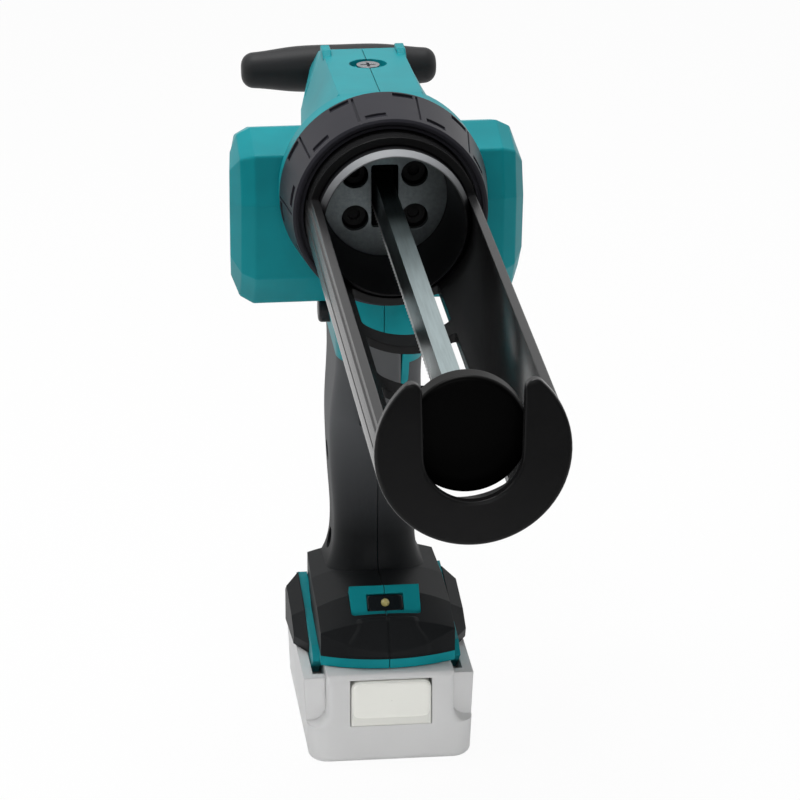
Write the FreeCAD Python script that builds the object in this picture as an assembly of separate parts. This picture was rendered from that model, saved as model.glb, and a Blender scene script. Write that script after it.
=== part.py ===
import FreeCAD, Part
import math
import os
from FreeCAD import Vector as V

# Cordless caulking tool, in millimetres. It is laid out from the middle of the guide plate's face
# on the holder axis, with X to the right, Y to the back and Z up. save() sets it on its base.

# Stance
AXIS_HEIGHT = 200.0
BASE_MIDDLE_Y = 24.0

# Fits
SEAM_GAP = 0.24
RUN_GAP = 0.3
SEAT_GAP = 0.1
SHAFT_GAP = 0.04

# Holder
CARTRIDGE_R = 25.0
CARTRIDGE_GAP = 0.9
HOLDER_WALL = 2.6
RAIL_PROUD = 0.4
HOLDER_FRONT_Y = -244.6
HOLDER_RIM_Y = -26.0
PLATE_T = 3.2
PLATE_EDGE_R = 1.0
HORN_R = 3.0
WALL_TOP_Z = 8.0
RAIL_TOP_Z = 6.0
RAIL_LOW_Z = -14.3
RAIL_GROOVE_Z = 1.5
RAIL_GROOVE_W = 1.0
RAIL_GROOVE_DEPTH = 0.5
NOTCH_HALF = 14.5
NOTCH_SPREAD = 0.8
NOTCH_LOW_Z = -15.4
WINDOW_HALF = 14.6
WINDOW_COUNT = 4
WINDOW_BAR = 11.7
WINDOW_BACK_BAR = 4.7
WINDOW_FRONT_BAR = 28.4
WINDOW_CORNER_R = 2.0
FLANGE_T = 3.0

# Collar
COLLAR_R = 35.3
COLLAR_TAPER = 2.7
COLLAR_FRONT_Y = -19.5
COLLAR_LENGTH = 24.7
COLLAR_LIP = 4.0
COLLAR_WALL = 4.1
COLLAR_EDGE = 0.8
COLLAR_GROOVES = 10
COLLAR_GROOVE_W = 0.8
COLLAR_MARK_W = 7.0
COLLAR_MARK_LENGTH = 3.2
COLLAR_MARK_DEPTH = 0.7

# Nose and guide plate
NOSE_DEPTH = 33.0
NOSE_GAP = 0.4
NOSE_WALL = 1.8
NOSE_LIP = 0.4
NOSE_CHAMFER = 3.0
NOSE_DRAFT = 2.5
GUIDE_T = 2.5
GUIDE_SLOT_W = 9.1
GUIDE_SLOT_H = 22.0
GUIDE_SLOT_DEPTH = 14.0
GUIDE_HOLE_R = 4.5
GUIDE_HOLE_X = 10.1
GUIDE_HOLE_Z = 7.5

# Rack, piston and T-handle
RACK_W = 6.0
RACK_TOP_Z = 4.5
RACK_H = 13.0
RACK_MODULE = 1.0
PINION_TEETH = 14
PRESSURE = math.radians(25.0)
BACKLASH = 0.16
PISTON_R = 18.1
PISTON_T = 8.0
PISTON_CLEAR = 11.4
PISTON_EDGE_R = 1.6
PISTON_RIM = 4.0
HUB_LENGTH = 10.0
HUB_WALL = 2.6
PISTON_PIN_R = 1.5
HANDLE_STAND_OFF = 1.9
HANDLE_HALF = 36.0
HANDLE_MID_R = 8.6
HANDLE_WAIST_R = 8.2
HANDLE_WAIST_X = 18.0
HANDLE_NECK_R = 7.05
HANDLE_NECK_X = 27.0
HANDLE_END_R = 6.4
HANDLE_ROUND_R = 4.6

# Machine screws in metal
BOLT_R = 2.0
BOLT_HEAD_R = 4.0
BOLT_HEAD_ROOM = 0.2

# Drive
DRIVE_Y = 41.0
PINION_HALF = 4.5
PINION_HUB_R = 5.4
BEARING_R = 11.0
BEARING_W = 6.0
CASE_HALF = 13.0
CASE_BACK = 20.0
CASE_DROP = 15.0
CASE_RISE = 15.0
CASE_SHELF_Z = -18.0
ROLLER_R = 5.5
ROLLER_PIN_R = 2.0
SHAFT_R = 1.6
MOTOR_R = 17.0
MOTOR_WALL = 1.5
MOTOR_END_ROOM = 6.8
MAGNET_T = 2.8
CAP_T = 2.5
GEAR_MODULE = 0.8
SUN_TEETH = 12
PLANET_TEETH = 18
PLANET_COUNT = 3
PLANET_PIN_R = 2.0
CARRIER_T = 3.0
STAGE_PLAY = 2.2
RING_WALL = 2.0
RING_END_ROOM = 10.8
COVER_T = 2.0

# Housing
WALL = 2.2
BARREL_R = 34.9
BARREL_LENGTH = 7.0
BARREL_FADE = 11.5
BARREL_BACK_R = 28.0
TOP_Z = 32.0
TOP_BACK_Z = 29.6
TOP_BACK_Y = 77.0
TAIL_BACK_Y = 152.0
DRUM_HALF = 50.8
DRUM_END = 8.3
DRUM_SLANT = 0.09
DRUM_SHARE_Y = 0.55
DRUM_SHARE_Z = 0.7
DRUM_BULGE_X = 0.56
DRUM_BULGE_Y = 0.86
DRUM_BULGE_Z = 0.92
DRUM_MID_Y = 40.0
DRUM_MID_Z = -16.0
DRUM_EDGE_R = 1.6
LUG_X = 13.0
LUG_W = 3.2
LUG_H = 1.9
LUG_LENGTH = 10.5
LUG_SLOPE = 3.5
TOP_SCREW_Y = 55.2
TOP_RECESS_R = 6.5
TOP_RECESS_DEPTH = 2.0
GRIP_T = 1.6
GRIP_TOP_Z = -63.0
GRIP_TOP_SLOPE = 0.02
FOOT_RISE = 33.0
FOOT_CROWN = 21.5
FOOT_BOW_R = 52.5
FOOT_FRONT_Y = -14.0
RIM_H = 3.4
SCREW_SHANK_R = 1.6
SCREW_HEAD_R = 3.4
SCREW_HEAD_T = 2.4
SCREW_SEAT_X = 7.0
SCREW_LENGTH = 16.0
SCREW_WALL = 1.8
SKIRT_GAP = 0.6
SKIRT_T = 3.2
BUMPER_T = 4.7
BUMPER_FALL = 0.139

# Trigger, buttons and dial
TRIGGER_HALF = 6.5
TRIGGER_TOP_Z = -51.5
TRIGGER_LOW_Z = -89.5
TRIGGER_BACK_Y = 22.0
PLUNGER_R = 2.0
PLUNGER_Z = -70.0
SWITCH_FRONT_Y = 31.0
SWITCH_BACK_Y = 50.0
SWITCH_HALF = 8.0
SWITCH_TOP_Z = -58.7
SWITCH_LOW_Z = -88.9
RIB_T = 1.4
SPRING_R = 3.4
SPRING_WIRE_R = 0.4
SPRING_PITCH = 1.5
LOCK_R = 4.5
LOCK_Y = 36.0
LOCK_Z = -52.0
LOCK_LEFT_X = -19.6
LOCK_LENGTH = 36.0
DIAL_R = 8.5
DIAL_W = 6.0
DIAL_Y = 61.5
DIAL_Z = -64.0
DIAL_GRIPS = 18
DIAL_AXLE_R = 1.5
DIAL_SEAT_T = 4.4

# Lamp
LAMP_HALF = 12.2
LAMP_LENGTH = 11.4
LAMP_TOP_Y = 5.0
LAMP_RISE = 22.8
LAMP_SLOPE = math.radians(44.0)
LENS_HALF = 6.3
LENS_H = 6.4
LENS_DROP = 2.6
LENS_DOME_R = 2.4

# Terminals and board in the foot
TERMINAL_HALF = 17.0
TERMINAL_FRONT_Y = 6.0
TERMINAL_BACK_Y = 50.0
TERMINAL_RISE = 3.5
BLADE_X = 14.5
BLADE_T = 0.8
BLADE_H = 6.0
BOARD_T = 1.6

# Battery
BATTERY_LOW_HALF = 28.2
BATTERY_TOP_HALF = 29.6
BATTERY_FRONT_Y = -19.0
BATTERY_BACK_Y = 67.0
BATTERY_WALL = 2.0
BATTERY_CORNER_R = 7.0
BATTERY_EDGE_R = 2.5
BASE_RISE = 22.5
SIDE_RISE = 29.0
LID_HALF = 22.0
FRONT_WALL = 8.0
CHANNEL_STOP = 4.0
SHOULDER_RISE = 13.5
SHOULDER_R = 5.0
FRONT_EDGE_R = 1.8
CELL_R = 9.2
CELL_LENGTH = 65.0
CELL_RISE = 8.0
BUTTON_HALF = 13.9
BUTTON_TRAVEL = 3.0
BUTTON_RISE = 14.0
BUTTON_DROP = 2.1
BUTTON_PROUD = 1.2
BUTTON_DEPTH = 6.5
BUTTON_CORNER_R = 3.0

# Worked out from the sizes above
BORE_R = CARTRIDGE_R + CARTRIDGE_GAP
HOLDER_R = BORE_R + HOLDER_WALL
RAIL_R = HOLDER_R + RAIL_PROUD
PLATE_BACK_Y = HOLDER_FRONT_Y + PLATE_T
WINDOW_RUN = HOLDER_RIM_Y - PLATE_BACK_Y - WINDOW_BACK_BAR - WINDOW_FRONT_BAR
WINDOW_PITCH = (WINDOW_RUN + WINDOW_BAR) / WINDOW_COUNT
WINDOW_LENGTH = WINDOW_PITCH - WINDOW_BAR
COLLAR_BACK_Y = COLLAR_FRONT_Y + COLLAR_LENGTH
COLLAR_FRONT_R = COLLAR_R - COLLAR_TAPER
COLLAR_BORE_R = COLLAR_R - COLLAR_WALL
LIP_R = RAIL_R + RUN_GAP
LIP_BACK_Y = COLLAR_FRONT_Y + COLLAR_LIP
FLANGE_FRONT_Y = LIP_BACK_Y + SEAT_GAP
FLANGE_BACK_Y = FLANGE_FRONT_Y + FLANGE_T
SPIGOT_FRONT_Y = FLANGE_BACK_Y + SEAT_GAP
SPIGOT_R = COLLAR_BORE_R - RUN_GAP
NOSE_R = BORE_R - NOSE_GAP
NOSE_BORE_R = NOSE_R - NOSE_WALL
SEAT_R = NOSE_BORE_R - NOSE_DRAFT
HOUSING_FRONT_Y = COLLAR_BACK_Y + RUN_GAP
CASE_FRONT_Y = HOUSING_FRONT_Y + WALL + SEAT_GAP
RACK_TIP_Z = RACK_TOP_Z - RACK_H
RACK_MID_Z = RACK_TOP_Z - RACK_H / 2
RACK_PITCH_Z = RACK_TIP_Z + RACK_MODULE
RACK_ROOT_Z = RACK_PITCH_Z + 1.25 * RACK_MODULE
TOOTH_PITCH = math.pi * RACK_MODULE
PINION_R = RACK_MODULE * PINION_TEETH / 2
DRIVE_Z = RACK_PITCH_Z - PINION_R
PISTON_FRONT_Y = PLATE_BACK_Y + PISTON_CLEAR
PISTON_BACK_Y = PISTON_FRONT_Y + PISTON_T
HUB_BACK_Y = PISTON_BACK_Y + HUB_LENGTH
HANDLE_Y = TAIL_BACK_Y + HANDLE_STAND_OFF + HANDLE_MID_R
ROLLER_Z = RACK_TOP_Z + SHAFT_GAP + ROLLER_R
CASE_TOP_Z = RACK_TOP_Z + CASE_RISE
MOTOR_LENGTH = DRUM_HALF - CASE_HALF - MOTOR_END_ROOM
MOTOR_BACK_X = -CASE_HALF - MOTOR_LENGTH
MOTOR_BORE_R = MOTOR_R - MOTOR_WALL
RING_TEETH = SUN_TEETH + 2 * PLANET_TEETH
PLANET_ORBIT_R = GEAR_MODULE * (SUN_TEETH + PLANET_TEETH) / 2
RING_R = GEAR_MODULE * RING_TEETH / 2 + GEAR_MODULE + RING_WALL
RING_LENGTH = DRUM_HALF - CASE_HALF - RING_END_ROOM
RING_END_X = CASE_HALF + RING_LENGTH
STAGE_LENGTH = RING_LENGTH / 2
PLANET_W = STAGE_LENGTH - CARRIER_T - STAGE_PLAY
DRUM_FACE_HALF = DRUM_HALF - DRUM_END
BATTERY_LOW_Z = -AXIS_HEIGHT
BASE_TOP_Z = BATTERY_LOW_Z + BASE_RISE
SIDE_TOP_Z = BATTERY_LOW_Z + SIDE_RISE
FOOT_LOW_Z = BATTERY_LOW_Z + FOOT_RISE
FOOT_TOP_Z = FOOT_LOW_Z + FOOT_CROWN
FOOT_FLOOR_Z = FOOT_LOW_Z + GRIP_T + WALL
RIM_TOP_Z = FOOT_LOW_Z + RIM_H
BATTERY_TOP_Z = FOOT_LOW_Z - RUN_GAP
BUTTON_LOW_Z = BATTERY_LOW_Z + BUTTON_RISE
BUTTON_TOP_Z = BATTERY_TOP_Z - BUTTON_DROP
SKIRT_X0 = LID_HALF + SKIRT_GAP
SKIRT_X1 = SKIRT_X0 + SKIRT_T
BUMPER_X = SKIRT_X1 + BUMPER_T
CHANNEL_X = SKIRT_X1 + RUN_GAP
TOP_SHARE = (TOP_BACK_Y - TOP_SCREW_Y) / (TOP_BACK_Y - HOUSING_FRONT_Y)
TOP_SCREW_Z = TOP_BACK_Z + (TOP_Z - TOP_BACK_Z) * TOP_SHARE
TOP_SEAT_Z = TOP_SCREW_Z - TOP_RECESS_DEPTH
BUSH_HALF = RACK_W / 2 + RUN_GAP + 1.6
BUSH_LOW_Z = RACK_TIP_Z - RUN_GAP - 1.6
BUSH_TOP_Z = RACK_TOP_Z + RUN_GAP + 1.2
LOW_SCREW_Z = FOOT_LOW_Z + 25.2
MID_SCREW_Z = SWITCH_LOW_Z + 0.367 * (LOW_SCREW_Z - SWITCH_LOW_Z)
SCREW_PLACES = [
    (112.0, DRIVE_Z), (90.0, 11.0), (14.0, TRIGGER_TOP_Z + 4.5), (63.0, TRIGGER_TOP_Z + 5.1),
    (47.0, MID_SCREW_Z), (47.0, LOW_SCREW_Z), (57.5, FOOT_LOW_Z + 9.5)]


# Basic forms
def box(x0, x1, y0, y1, z0, z1):
    return Part.makeBox(x1 - x0, y1 - y0, z1 - z0, V(x0, y0, z0))


def cyl_x(r, x0, x1, y, z):
    return Part.makeCylinder(r, x1 - x0, V(x0, y, z), V(1, 0, 0))


def cyl_y(r, y0, y1, x=0.0, z=0.0):
    return Part.makeCylinder(r, y1 - y0, V(x, y0, z), V(0, 1, 0))


def cone_y(r0, r1, y0, y1):
    return Part.makeCone(r0, r1, y1 - y0, V(0, y0, 0), V(0, 1, 0))


def tube_x(r_out, r_in, x0, x1, y, z):
    return cyl_x(r_out, x0, x1, y, z).cut(cyl_x(r_in, x0, x1, y, z))


def tube_y(r_out, r_in, y0, y1):
    return cyl_y(r_out, y0, y1).cut(cyl_y(r_in, y0, y1))


def drive_cyl(r, x0, x1):
    return cyl_x(r, x0, x1, DRIVE_Y, DRIVE_Z)


def drive_tube(r_out, r_in, x0, x1):
    return tube_x(r_out, r_in, x0, x1, DRIVE_Y, DRIVE_Z)


def closed(points):
    return Part.makePolygon(list(points) + [points[0]])


def prism_x(outline, x0, x1):
    wire = closed([V(x0, y, z) for y, z in outline])
    return Part.Face(wire).extrude(V(x1 - x0, 0, 0))


def fused(shapes):
    return shapes[0].multiFuse(shapes[1:]).removeSplitter()


def mirrored(shape):
    return shape.mirror(V(0, 0, 0), V(1, 0, 0))


def rounded(shape, radius, wanted):
    return shape.makeFillet(radius, [edge for edge in shape.Edges if wanted(edge)])


def along(edge, axis):
    if edge.Curve.TypeId != "Part::GeomLine":
        return False
    return abs(abs(edge.Curve.Direction.dot(axis)) - 1.0) < 1e-6


def rounded_outline(z, y0, y1, half, radius):
    """Closed outline in a level plane: a rectangle with round corners."""
    inner_x = half - radius
    front = y0 + radius
    back = y1 - radius
    turn = radius * math.sqrt(0.5)
    corners = [(inner_x, back, 1, 1), (-inner_x, back, -1, 1), (-inner_x, front, -1, -1),
               (inner_x, front, 1, -1)]
    edges = []
    last = V(half, front, z)
    for index, (x, y, right, rear) in enumerate(corners):
        side = V(x + right * radius, y, z)
        cap = V(x, y + rear * radius, z)
        start, end = (side, cap) if index % 2 == 0 else (cap, side)
        edges.append(Part.makeLine(last, start))
        edges.append(Part.Arc(start, V(x + right * turn, y + rear * turn, z), end).toShape())
        last = end
    return Part.Wire(edges)


def gear_points(teeth, module, addendum, dedendum, thinning, start):
    """Involute tooth outline as points (y, z) about the gear's own axis, a tooth at angle start."""
    pitch_r = module * teeth / 2
    base_r = pitch_r * math.cos(PRESSURE)
    tip_r = pitch_r + addendum
    root_r = pitch_r - dedendum
    half_tooth = math.pi / (2 * teeth) - thinning / (2 * pitch_r)
    involute = math.tan(PRESSURE) - PRESSURE
    low_r = max(base_r, root_r)
    flank = []
    for step in range(5):
        r = low_r + (tip_r - low_r) * step / 4
        turn = math.acos(min(1.0, base_r / r))
        flank.append((r, half_tooth + involute - (math.tan(turn) - turn)))
    if root_r < base_r:
        flank.insert(0, (root_r, flank[0][1]))
    points = []
    for tooth in range(teeth):
        middle = start + 2 * math.pi * tooth / teeth
        side = [(r, middle - a) for r, a in flank] + [(r, middle + a) for r, a in reversed(flank)]
        points += [(r * math.cos(a), r * math.sin(a)) for r, a in side]
    return points


def gear(teeth, module, x0, x1, y, z, start, addendum=1.0, dedendum=1.25):
    outline = gear_points(teeth, module, addendum * module, dedendum * module, BACKLASH, start)
    return prism_x([(y + dy, z + dz) for dy, dz in outline], x0, x1)


def save(name, shape):
    placed = shape.copy()
    placed.translate(V(0, -BASE_MIDDLE_Y, AXIS_HEIGHT))
    placed.exportStep("parts/" + name + ".step")


# Holder
def holder():
    tube = tube_y(HOLDER_R, BORE_R, PLATE_BACK_Y, FLANGE_BACK_Y)
    open_top = box(-40, 40, PLATE_BACK_Y, HOLDER_RIM_Y, WALL_TOP_Z, 60)
    tube = tube.cut(open_top)
    rails = tube_y(RAIL_R, BORE_R, PLATE_BACK_Y, FLANGE_BACK_Y)
    rails = rails.common(box(-40, 40, PLATE_BACK_Y, 0, RAIL_LOW_Z, RAIL_TOP_Z))
    groove_low = RAIL_GROOVE_Z - RAIL_GROOVE_W / 2
    groove = box(-40, 40, PLATE_BACK_Y, LIP_BACK_Y, groove_low, groove_low + RAIL_GROOVE_W)
    rails = rails.cut(groove.cut(cyl_y(RAIL_R - RAIL_GROOVE_DEPTH, PLATE_BACK_Y, 0)))
    trough = fused([tube, rails])
    for index in range(WINDOW_COUNT):
        back = HOLDER_RIM_Y - WINDOW_BACK_BAR - index * WINDOW_PITCH
        window = box(-WINDOW_HALF, WINDOW_HALF, back - WINDOW_LENGTH, back, -60, -10)
        window = rounded(window, WINDOW_CORNER_R, lambda edge: along(edge, V(0, 0, 1)))
        trough = trough.cut(window)
    flange = tube_y(SPIGOT_R, BORE_R, FLANGE_FRONT_Y, FLANGE_BACK_Y)
    return fused([trough, end_plate(), flange])


def end_plate():
    plate = cyl_y(RAIL_R, HOLDER_FRONT_Y, PLATE_BACK_Y)
    centre_z = NOTCH_LOW_Z + NOTCH_HALF
    top_half = NOTCH_HALF + NOTCH_SPREAD
    y = HOLDER_FRONT_Y
    left = V(-NOTCH_HALF, y, centre_z)
    right = V(NOTCH_HALF, y, centre_z)
    curve = Part.Arc(left, V(0, y, NOTCH_LOW_Z), right).toShape()
    sides = Part.makePolygon([right, V(top_half, y, RAIL_R + 5), V(-top_half, y, RAIL_R + 5), left])
    notch = Part.Face(Part.Wire([curve] + sides.Edges)).extrude(V(0, PLATE_T, 0))
    plate = plate.cut(notch)
    plate = rounded(plate, HORN_R, lambda edge: along(edge, V(0, 1, 0)) and edge.CenterOfMass.z > NOTCH_HALF)
    return rounded(plate, PLATE_EDGE_R, lambda edge: abs(edge.CenterOfMass.y - y) < 1e-6)


def collar_r(y):
    """Radius of the collar's tapered outside at a place along its axis."""
    return COLLAR_FRONT_R + COLLAR_TAPER * (y - COLLAR_FRONT_Y) / COLLAR_LENGTH


def collar_cut(width, y0, y1):
    outline = [(y0, collar_r(y0) - COLLAR_MARK_DEPTH), (y1, collar_r(y1) - COLLAR_MARK_DEPTH)]
    return prism_x(outline + [(y1, COLLAR_R + 5), (y0, COLLAR_R + 5)], -width / 2, width / 2)


def collar():
    front = COLLAR_FRONT_Y
    step = COLLAR_EDGE
    face_r = LIP_R + 2 * step
    profile = [
        (face_r, front), (COLLAR_FRONT_R - step, front), (collar_r(front + step), front + step),
        (COLLAR_R, COLLAR_BACK_Y - 1.0), (COLLAR_R - 1.0, COLLAR_BACK_Y), (COLLAR_BORE_R, COLLAR_BACK_Y),
        (COLLAR_BORE_R, LIP_BACK_Y), (LIP_R, LIP_BACK_Y), (LIP_R, front + step), (LIP_R + step, front + step),
        (LIP_R + step, front + 2 * step), (face_r, front + 2 * step)]
    ring = Part.Face(closed([V(r, y, 0) for r, y in profile])).revolve(V(0, 0, 0), V(0, 1, 0), 360)
    pitch = 360.0 / COLLAR_GROOVES
    first = front + 3.0
    last = COLLAR_BACK_Y - 2.0
    cuts = []
    for index in range(COLLAR_GROOVES):
        groove = collar_cut(COLLAR_GROOVE_W, first, last)
        rear_mark = collar_cut(COLLAR_MARK_W, last - COLLAR_MARK_LENGTH, last)
        front_mark = collar_cut(COLLAR_MARK_W, first, first + COLLAR_MARK_LENGTH)
        groove.rotate(V(0, 0, 0), V(0, 1, 0), (index + 0.5) * pitch)
        rear_mark.rotate(V(0, 0, 0), V(0, 1, 0), (index + 0.28) * pitch)
        front_mark.rotate(V(0, 0, 0), V(0, 1, 0), (index + 0.78) * pitch)
        cuts += [groove, rear_mark, front_mark]
    return ring.cut(Part.makeCompound(cuts))


# Gear case and guide
def gear_case():
    lip_r = NOSE_BORE_R + NOSE_LIP
    case_back = DRIVE_Y + CASE_BACK
    flange = cyl_y(SPIGOT_R + 1.4, CASE_FRONT_Y, CASE_FRONT_Y + 3.5)
    nose = fused([
        cone_y(lip_r, NOSE_R, -NOSE_DEPTH, NOSE_CHAMFER - NOSE_DEPTH),
        cyl_y(NOSE_R, NOSE_CHAMFER - NOSE_DEPTH, GUIDE_T + 6),
        cyl_y(SPIGOT_R, SPIGOT_FRONT_Y, CASE_FRONT_Y),
        flange.common(box(-60, 60, 0, 60, -60, TOP_Z - WALL - RUN_GAP)),
        box(-CASE_HALF, CASE_HALF, CASE_FRONT_Y, case_back, CASE_SHELF_Z, CASE_TOP_Z),
        box(-CASE_HALF, CASE_HALF, DRIVE_Y - CASE_BACK, case_back, DRIVE_Z - CASE_DROP, CASE_SHELF_Z)])
    nose = nose.cut(cone_y(NOSE_BORE_R, SEAT_R, -NOSE_DEPTH, 0)).cut(cyl_y(SEAT_R, 0, GUIDE_T))
    channel = rack_room(0, case_back + SEAT_GAP).fuse(guide_slot(GUIDE_SLOT_DEPTH))
    gear_half = BEARING_W + 2 * RUN_GAP
    gear_room = box(-gear_half, gear_half, DRIVE_Y - BEARING_R, DRIVE_Y + BEARING_R, DRIVE_Z - 10,
                    ROLLER_Z + 7)
    bores = drive_cyl(BEARING_R + SHAFT_GAP, -CASE_HALF, CASE_HALF)
    pin_hole = cyl_x(ROLLER_PIN_R + SHAFT_GAP, -CASE_HALF, CASE_HALF, DRIVE_Y, ROLLER_Z)
    screws = [screw_room(x, z) for x, z in guide_places()]
    top_hole = Part.makeCylinder(BOLT_R + SHAFT_GAP, 30, V(0, TOP_SCREW_Y, CASE_TOP_Z - 12))
    rooms = [Part.makeCompound([channel, gear_room]), fused([bores, pin_hole]), fused(screws), top_hole]
    for room in rooms:
        nose = nose.cut(room)
    return nose


def rack_room(y0, y1):
    side = RACK_W / 2 + RUN_GAP
    return box(-side, side, y0, y1, RACK_TIP_Z - RUN_GAP, RACK_TOP_Z + RUN_GAP)


def guide_places():
    return [(x, z) for x in (-GUIDE_HOLE_X, GUIDE_HOLE_X) for z in (-GUIDE_HOLE_Z, GUIDE_HOLE_Z)]


def screw_room(x, z):
    return cyl_y(GUIDE_HOLE_R, 0, GUIDE_T + 6, x, z).fuse(cyl_y(BOLT_R + SHAFT_GAP, 0, GUIDE_T + 24, x, z))


def case_screws():
    solids = []
    for x, z in guide_places():
        head = cyl_y(BOLT_HEAD_R, GUIDE_T + 2, GUIDE_T + 6, x, z)
        shank = cyl_y(BOLT_R, GUIDE_T + 2, GUIDE_T + 22, x, z)
        socket = cyl_y(BOLT_R, GUIDE_T + 1, GUIDE_T + 4.2, x, z)
        solids.append(head.fuse(shank).cut(socket))
    return Part.makeCompound(solids)


def guide_slot(depth):
    slot = box(-GUIDE_SLOT_W / 2, GUIDE_SLOT_W / 2, 0, depth, -GUIDE_SLOT_H / 2, GUIDE_SLOT_H / 2)
    return rounded(slot, 1.0, lambda edge: along(edge, V(0, 1, 0)))


def guide_plate():
    plate = cyl_y(SEAT_R - SEAT_GAP, 0, GUIDE_T)
    holes = [cyl_y(GUIDE_HOLE_R, 0, GUIDE_T, x, z) for x, z in guide_places()]
    return plate.cut(Part.makeCompound([guide_slot(GUIDE_T)] + holes))


# Rack group
def rack():
    half_tip = TOOTH_PITCH / 4 - BACKLASH / 2 - RACK_MODULE * math.tan(PRESSURE)
    half_root = half_tip + (RACK_ROOT_Z - RACK_TIP_Z) * math.tan(PRESSURE)
    first = math.ceil((HUB_BACK_Y + TOOTH_PITCH - DRIVE_Y) / TOOTH_PITCH)
    last = math.floor((CASE_BACK + 2.0) / TOOTH_PITCH)
    front_gap = DRIVE_Y + (first - 0.5) * TOOTH_PITCH
    back_gap = DRIVE_Y + (last + 0.5) * TOOTH_PITCH
    outline = [(HANDLE_Y, RACK_TOP_Z), (PISTON_BACK_Y, RACK_TOP_Z), (PISTON_BACK_Y, RACK_TIP_Z)]
    outline += [(front_gap - half_tip, RACK_TIP_Z), (front_gap, RACK_ROOT_Z)]
    for index in range(first, last + 1):
        y = DRIVE_Y + index * TOOTH_PITCH
        outline += [(y - half_root, RACK_ROOT_Z), (y - half_tip, RACK_TIP_Z)]
        outline += [(y + half_tip, RACK_TIP_Z), (y + half_root, RACK_ROOT_Z)]
    outline += [(back_gap, RACK_ROOT_Z), (back_gap + half_tip, RACK_TIP_Z), (HANDLE_Y, RACK_TIP_Z)]
    bar = prism_x(outline, -RACK_W / 2, RACK_W / 2)
    pin_hole = pin_cyl(PISTON_PIN_R + SHAFT_GAP, RACK_W)
    back_hole = cyl_y(BOLT_R + SHAFT_GAP, HANDLE_Y - 12, HANDLE_Y, 0, RACK_MID_Z)
    return bar.cut(pin_hole).cut(back_hole)


def pin_cyl(r, half_length):
    return cyl_x(r, -half_length, half_length, (PISTON_BACK_Y + HUB_BACK_Y) / 2, RACK_MID_Z)


def hub_block(y0, y1, room):
    side = RACK_W / 2 + room
    return box(-side, side, y0, y1, RACK_TIP_Z - room, RACK_TOP_Z + room)


def piston():
    disc = cyl_y(PISTON_R, PISTON_FRONT_Y, PISTON_BACK_Y)
    disc = rounded(disc, PISTON_EDGE_R, lambda edge: edge.Curve.TypeId == "Part::GeomCircle")
    well = cyl_y(PISTON_R - PISTON_RIM, PISTON_BACK_Y - 4.5, PISTON_BACK_Y)
    hub = hub_block(PISTON_BACK_Y - 6, HUB_BACK_Y, HUB_WALL)
    socket = hub_block(PISTON_BACK_Y, HUB_BACK_Y, SEAT_GAP)
    return disc.cut(well).fuse(hub).cut(socket).cut(pin_cyl(PISTON_PIN_R + SHAFT_GAP, RACK_W))


def piston_pin():
    return pin_cyl(PISTON_PIN_R, RACK_W / 2 + HUB_WALL - SEAT_GAP)


def t_handle():
    side = [(0.0, HANDLE_MID_R), (HANDLE_WAIST_X, HANDLE_WAIST_R), (HANDLE_NECK_X, HANDLE_NECK_R),
            (HANDLE_HALF, HANDLE_END_R)]
    points = [V(-x, HANDLE_Y, RACK_MID_Z + r) for x, r in reversed(side[1:])]
    points += [V(x, HANDLE_Y, RACK_MID_Z + r) for x, r in side]
    curve = Part.BSplineCurve()
    curve.interpolate(points)
    left = V(-HANDLE_HALF, HANDLE_Y, RACK_MID_Z)
    right = V(HANDLE_HALF, HANDLE_Y, RACK_MID_Z)
    base = Part.makePolygon([points[-1], right, left, points[0]])
    face = Part.Face(Part.Wire([curve.toShape()] + base.Edges))
    bar = face.revolve(V(0, HANDLE_Y, RACK_MID_Z), V(1, 0, 0), 360)
    ends = HANDLE_HALF - 1
    bar = rounded(bar, HANDLE_ROUND_R,
                  lambda edge: edge.BoundBox.XLength < 1e-3 and abs(edge.CenterOfMass.x) > ends)
    socket = hub_block(HANDLE_Y - 20, HANDLE_Y + SEAT_GAP, SEAT_GAP)
    hole = cyl_y(BOLT_R + SHAFT_GAP, HANDLE_Y, HANDLE_Y + 20, 0, RACK_MID_Z)
    head_room = cyl_y(BOLT_HEAD_R + BOLT_HEAD_ROOM, HANDLE_Y + HANDLE_MID_R / 2, HANDLE_Y + 20, 0, RACK_MID_Z)
    return bar.cut(socket).cut(hole).cut(head_room)


def handle_screw():
    seat = HANDLE_Y + HANDLE_MID_R / 2
    head = cyl_y(BOLT_HEAD_R, seat, seat + 2.4, 0, RACK_MID_Z)
    shank = cyl_y(BOLT_R, HANDLE_Y - 10, seat + 1, 0, RACK_MID_Z)
    drive = cyl_y(1.5, seat + 1, seat + 3, 0, RACK_MID_Z)
    return head.fuse(shank).cut(drive)


# Drive train
def rack_pinion():
    start = math.pi / 2 + math.pi / PINION_TEETH
    teeth = gear(PINION_TEETH, RACK_MODULE, -PINION_HALF, PINION_HALF, DRIVE_Y, DRIVE_Z, start)
    hub = drive_cyl(PINION_HUB_R, -CASE_HALF + RUN_GAP, CASE_HALF - RUN_GAP)
    return teeth.fuse(hub).cut(drive_cyl(SHAFT_R + RUN_GAP, -CASE_HALF, CASE_HALF))


def bearing(side):
    outer = CASE_HALF - RUN_GAP
    x0, x1 = sorted((side * outer, side * (outer - BEARING_W)))
    ring = drive_tube(BEARING_R, PINION_HUB_R + SHAFT_GAP, x0, x1)
    for face in (x0, x1 - 0.8):
        ring = ring.cut(drive_tube(BEARING_R - 1.6, PINION_HUB_R + 1.8, face, face + 0.8))
    return ring


def roller():
    return tube_x(ROLLER_R, ROLLER_PIN_R + SHAFT_GAP, -BEARING_W, BEARING_W, DRIVE_Y, ROLLER_Z)


def roller_pin():
    return cyl_x(ROLLER_PIN_R, -CASE_HALF + 0.5, CASE_HALF - 0.5, DRIVE_Y, ROLLER_Z)


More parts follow.
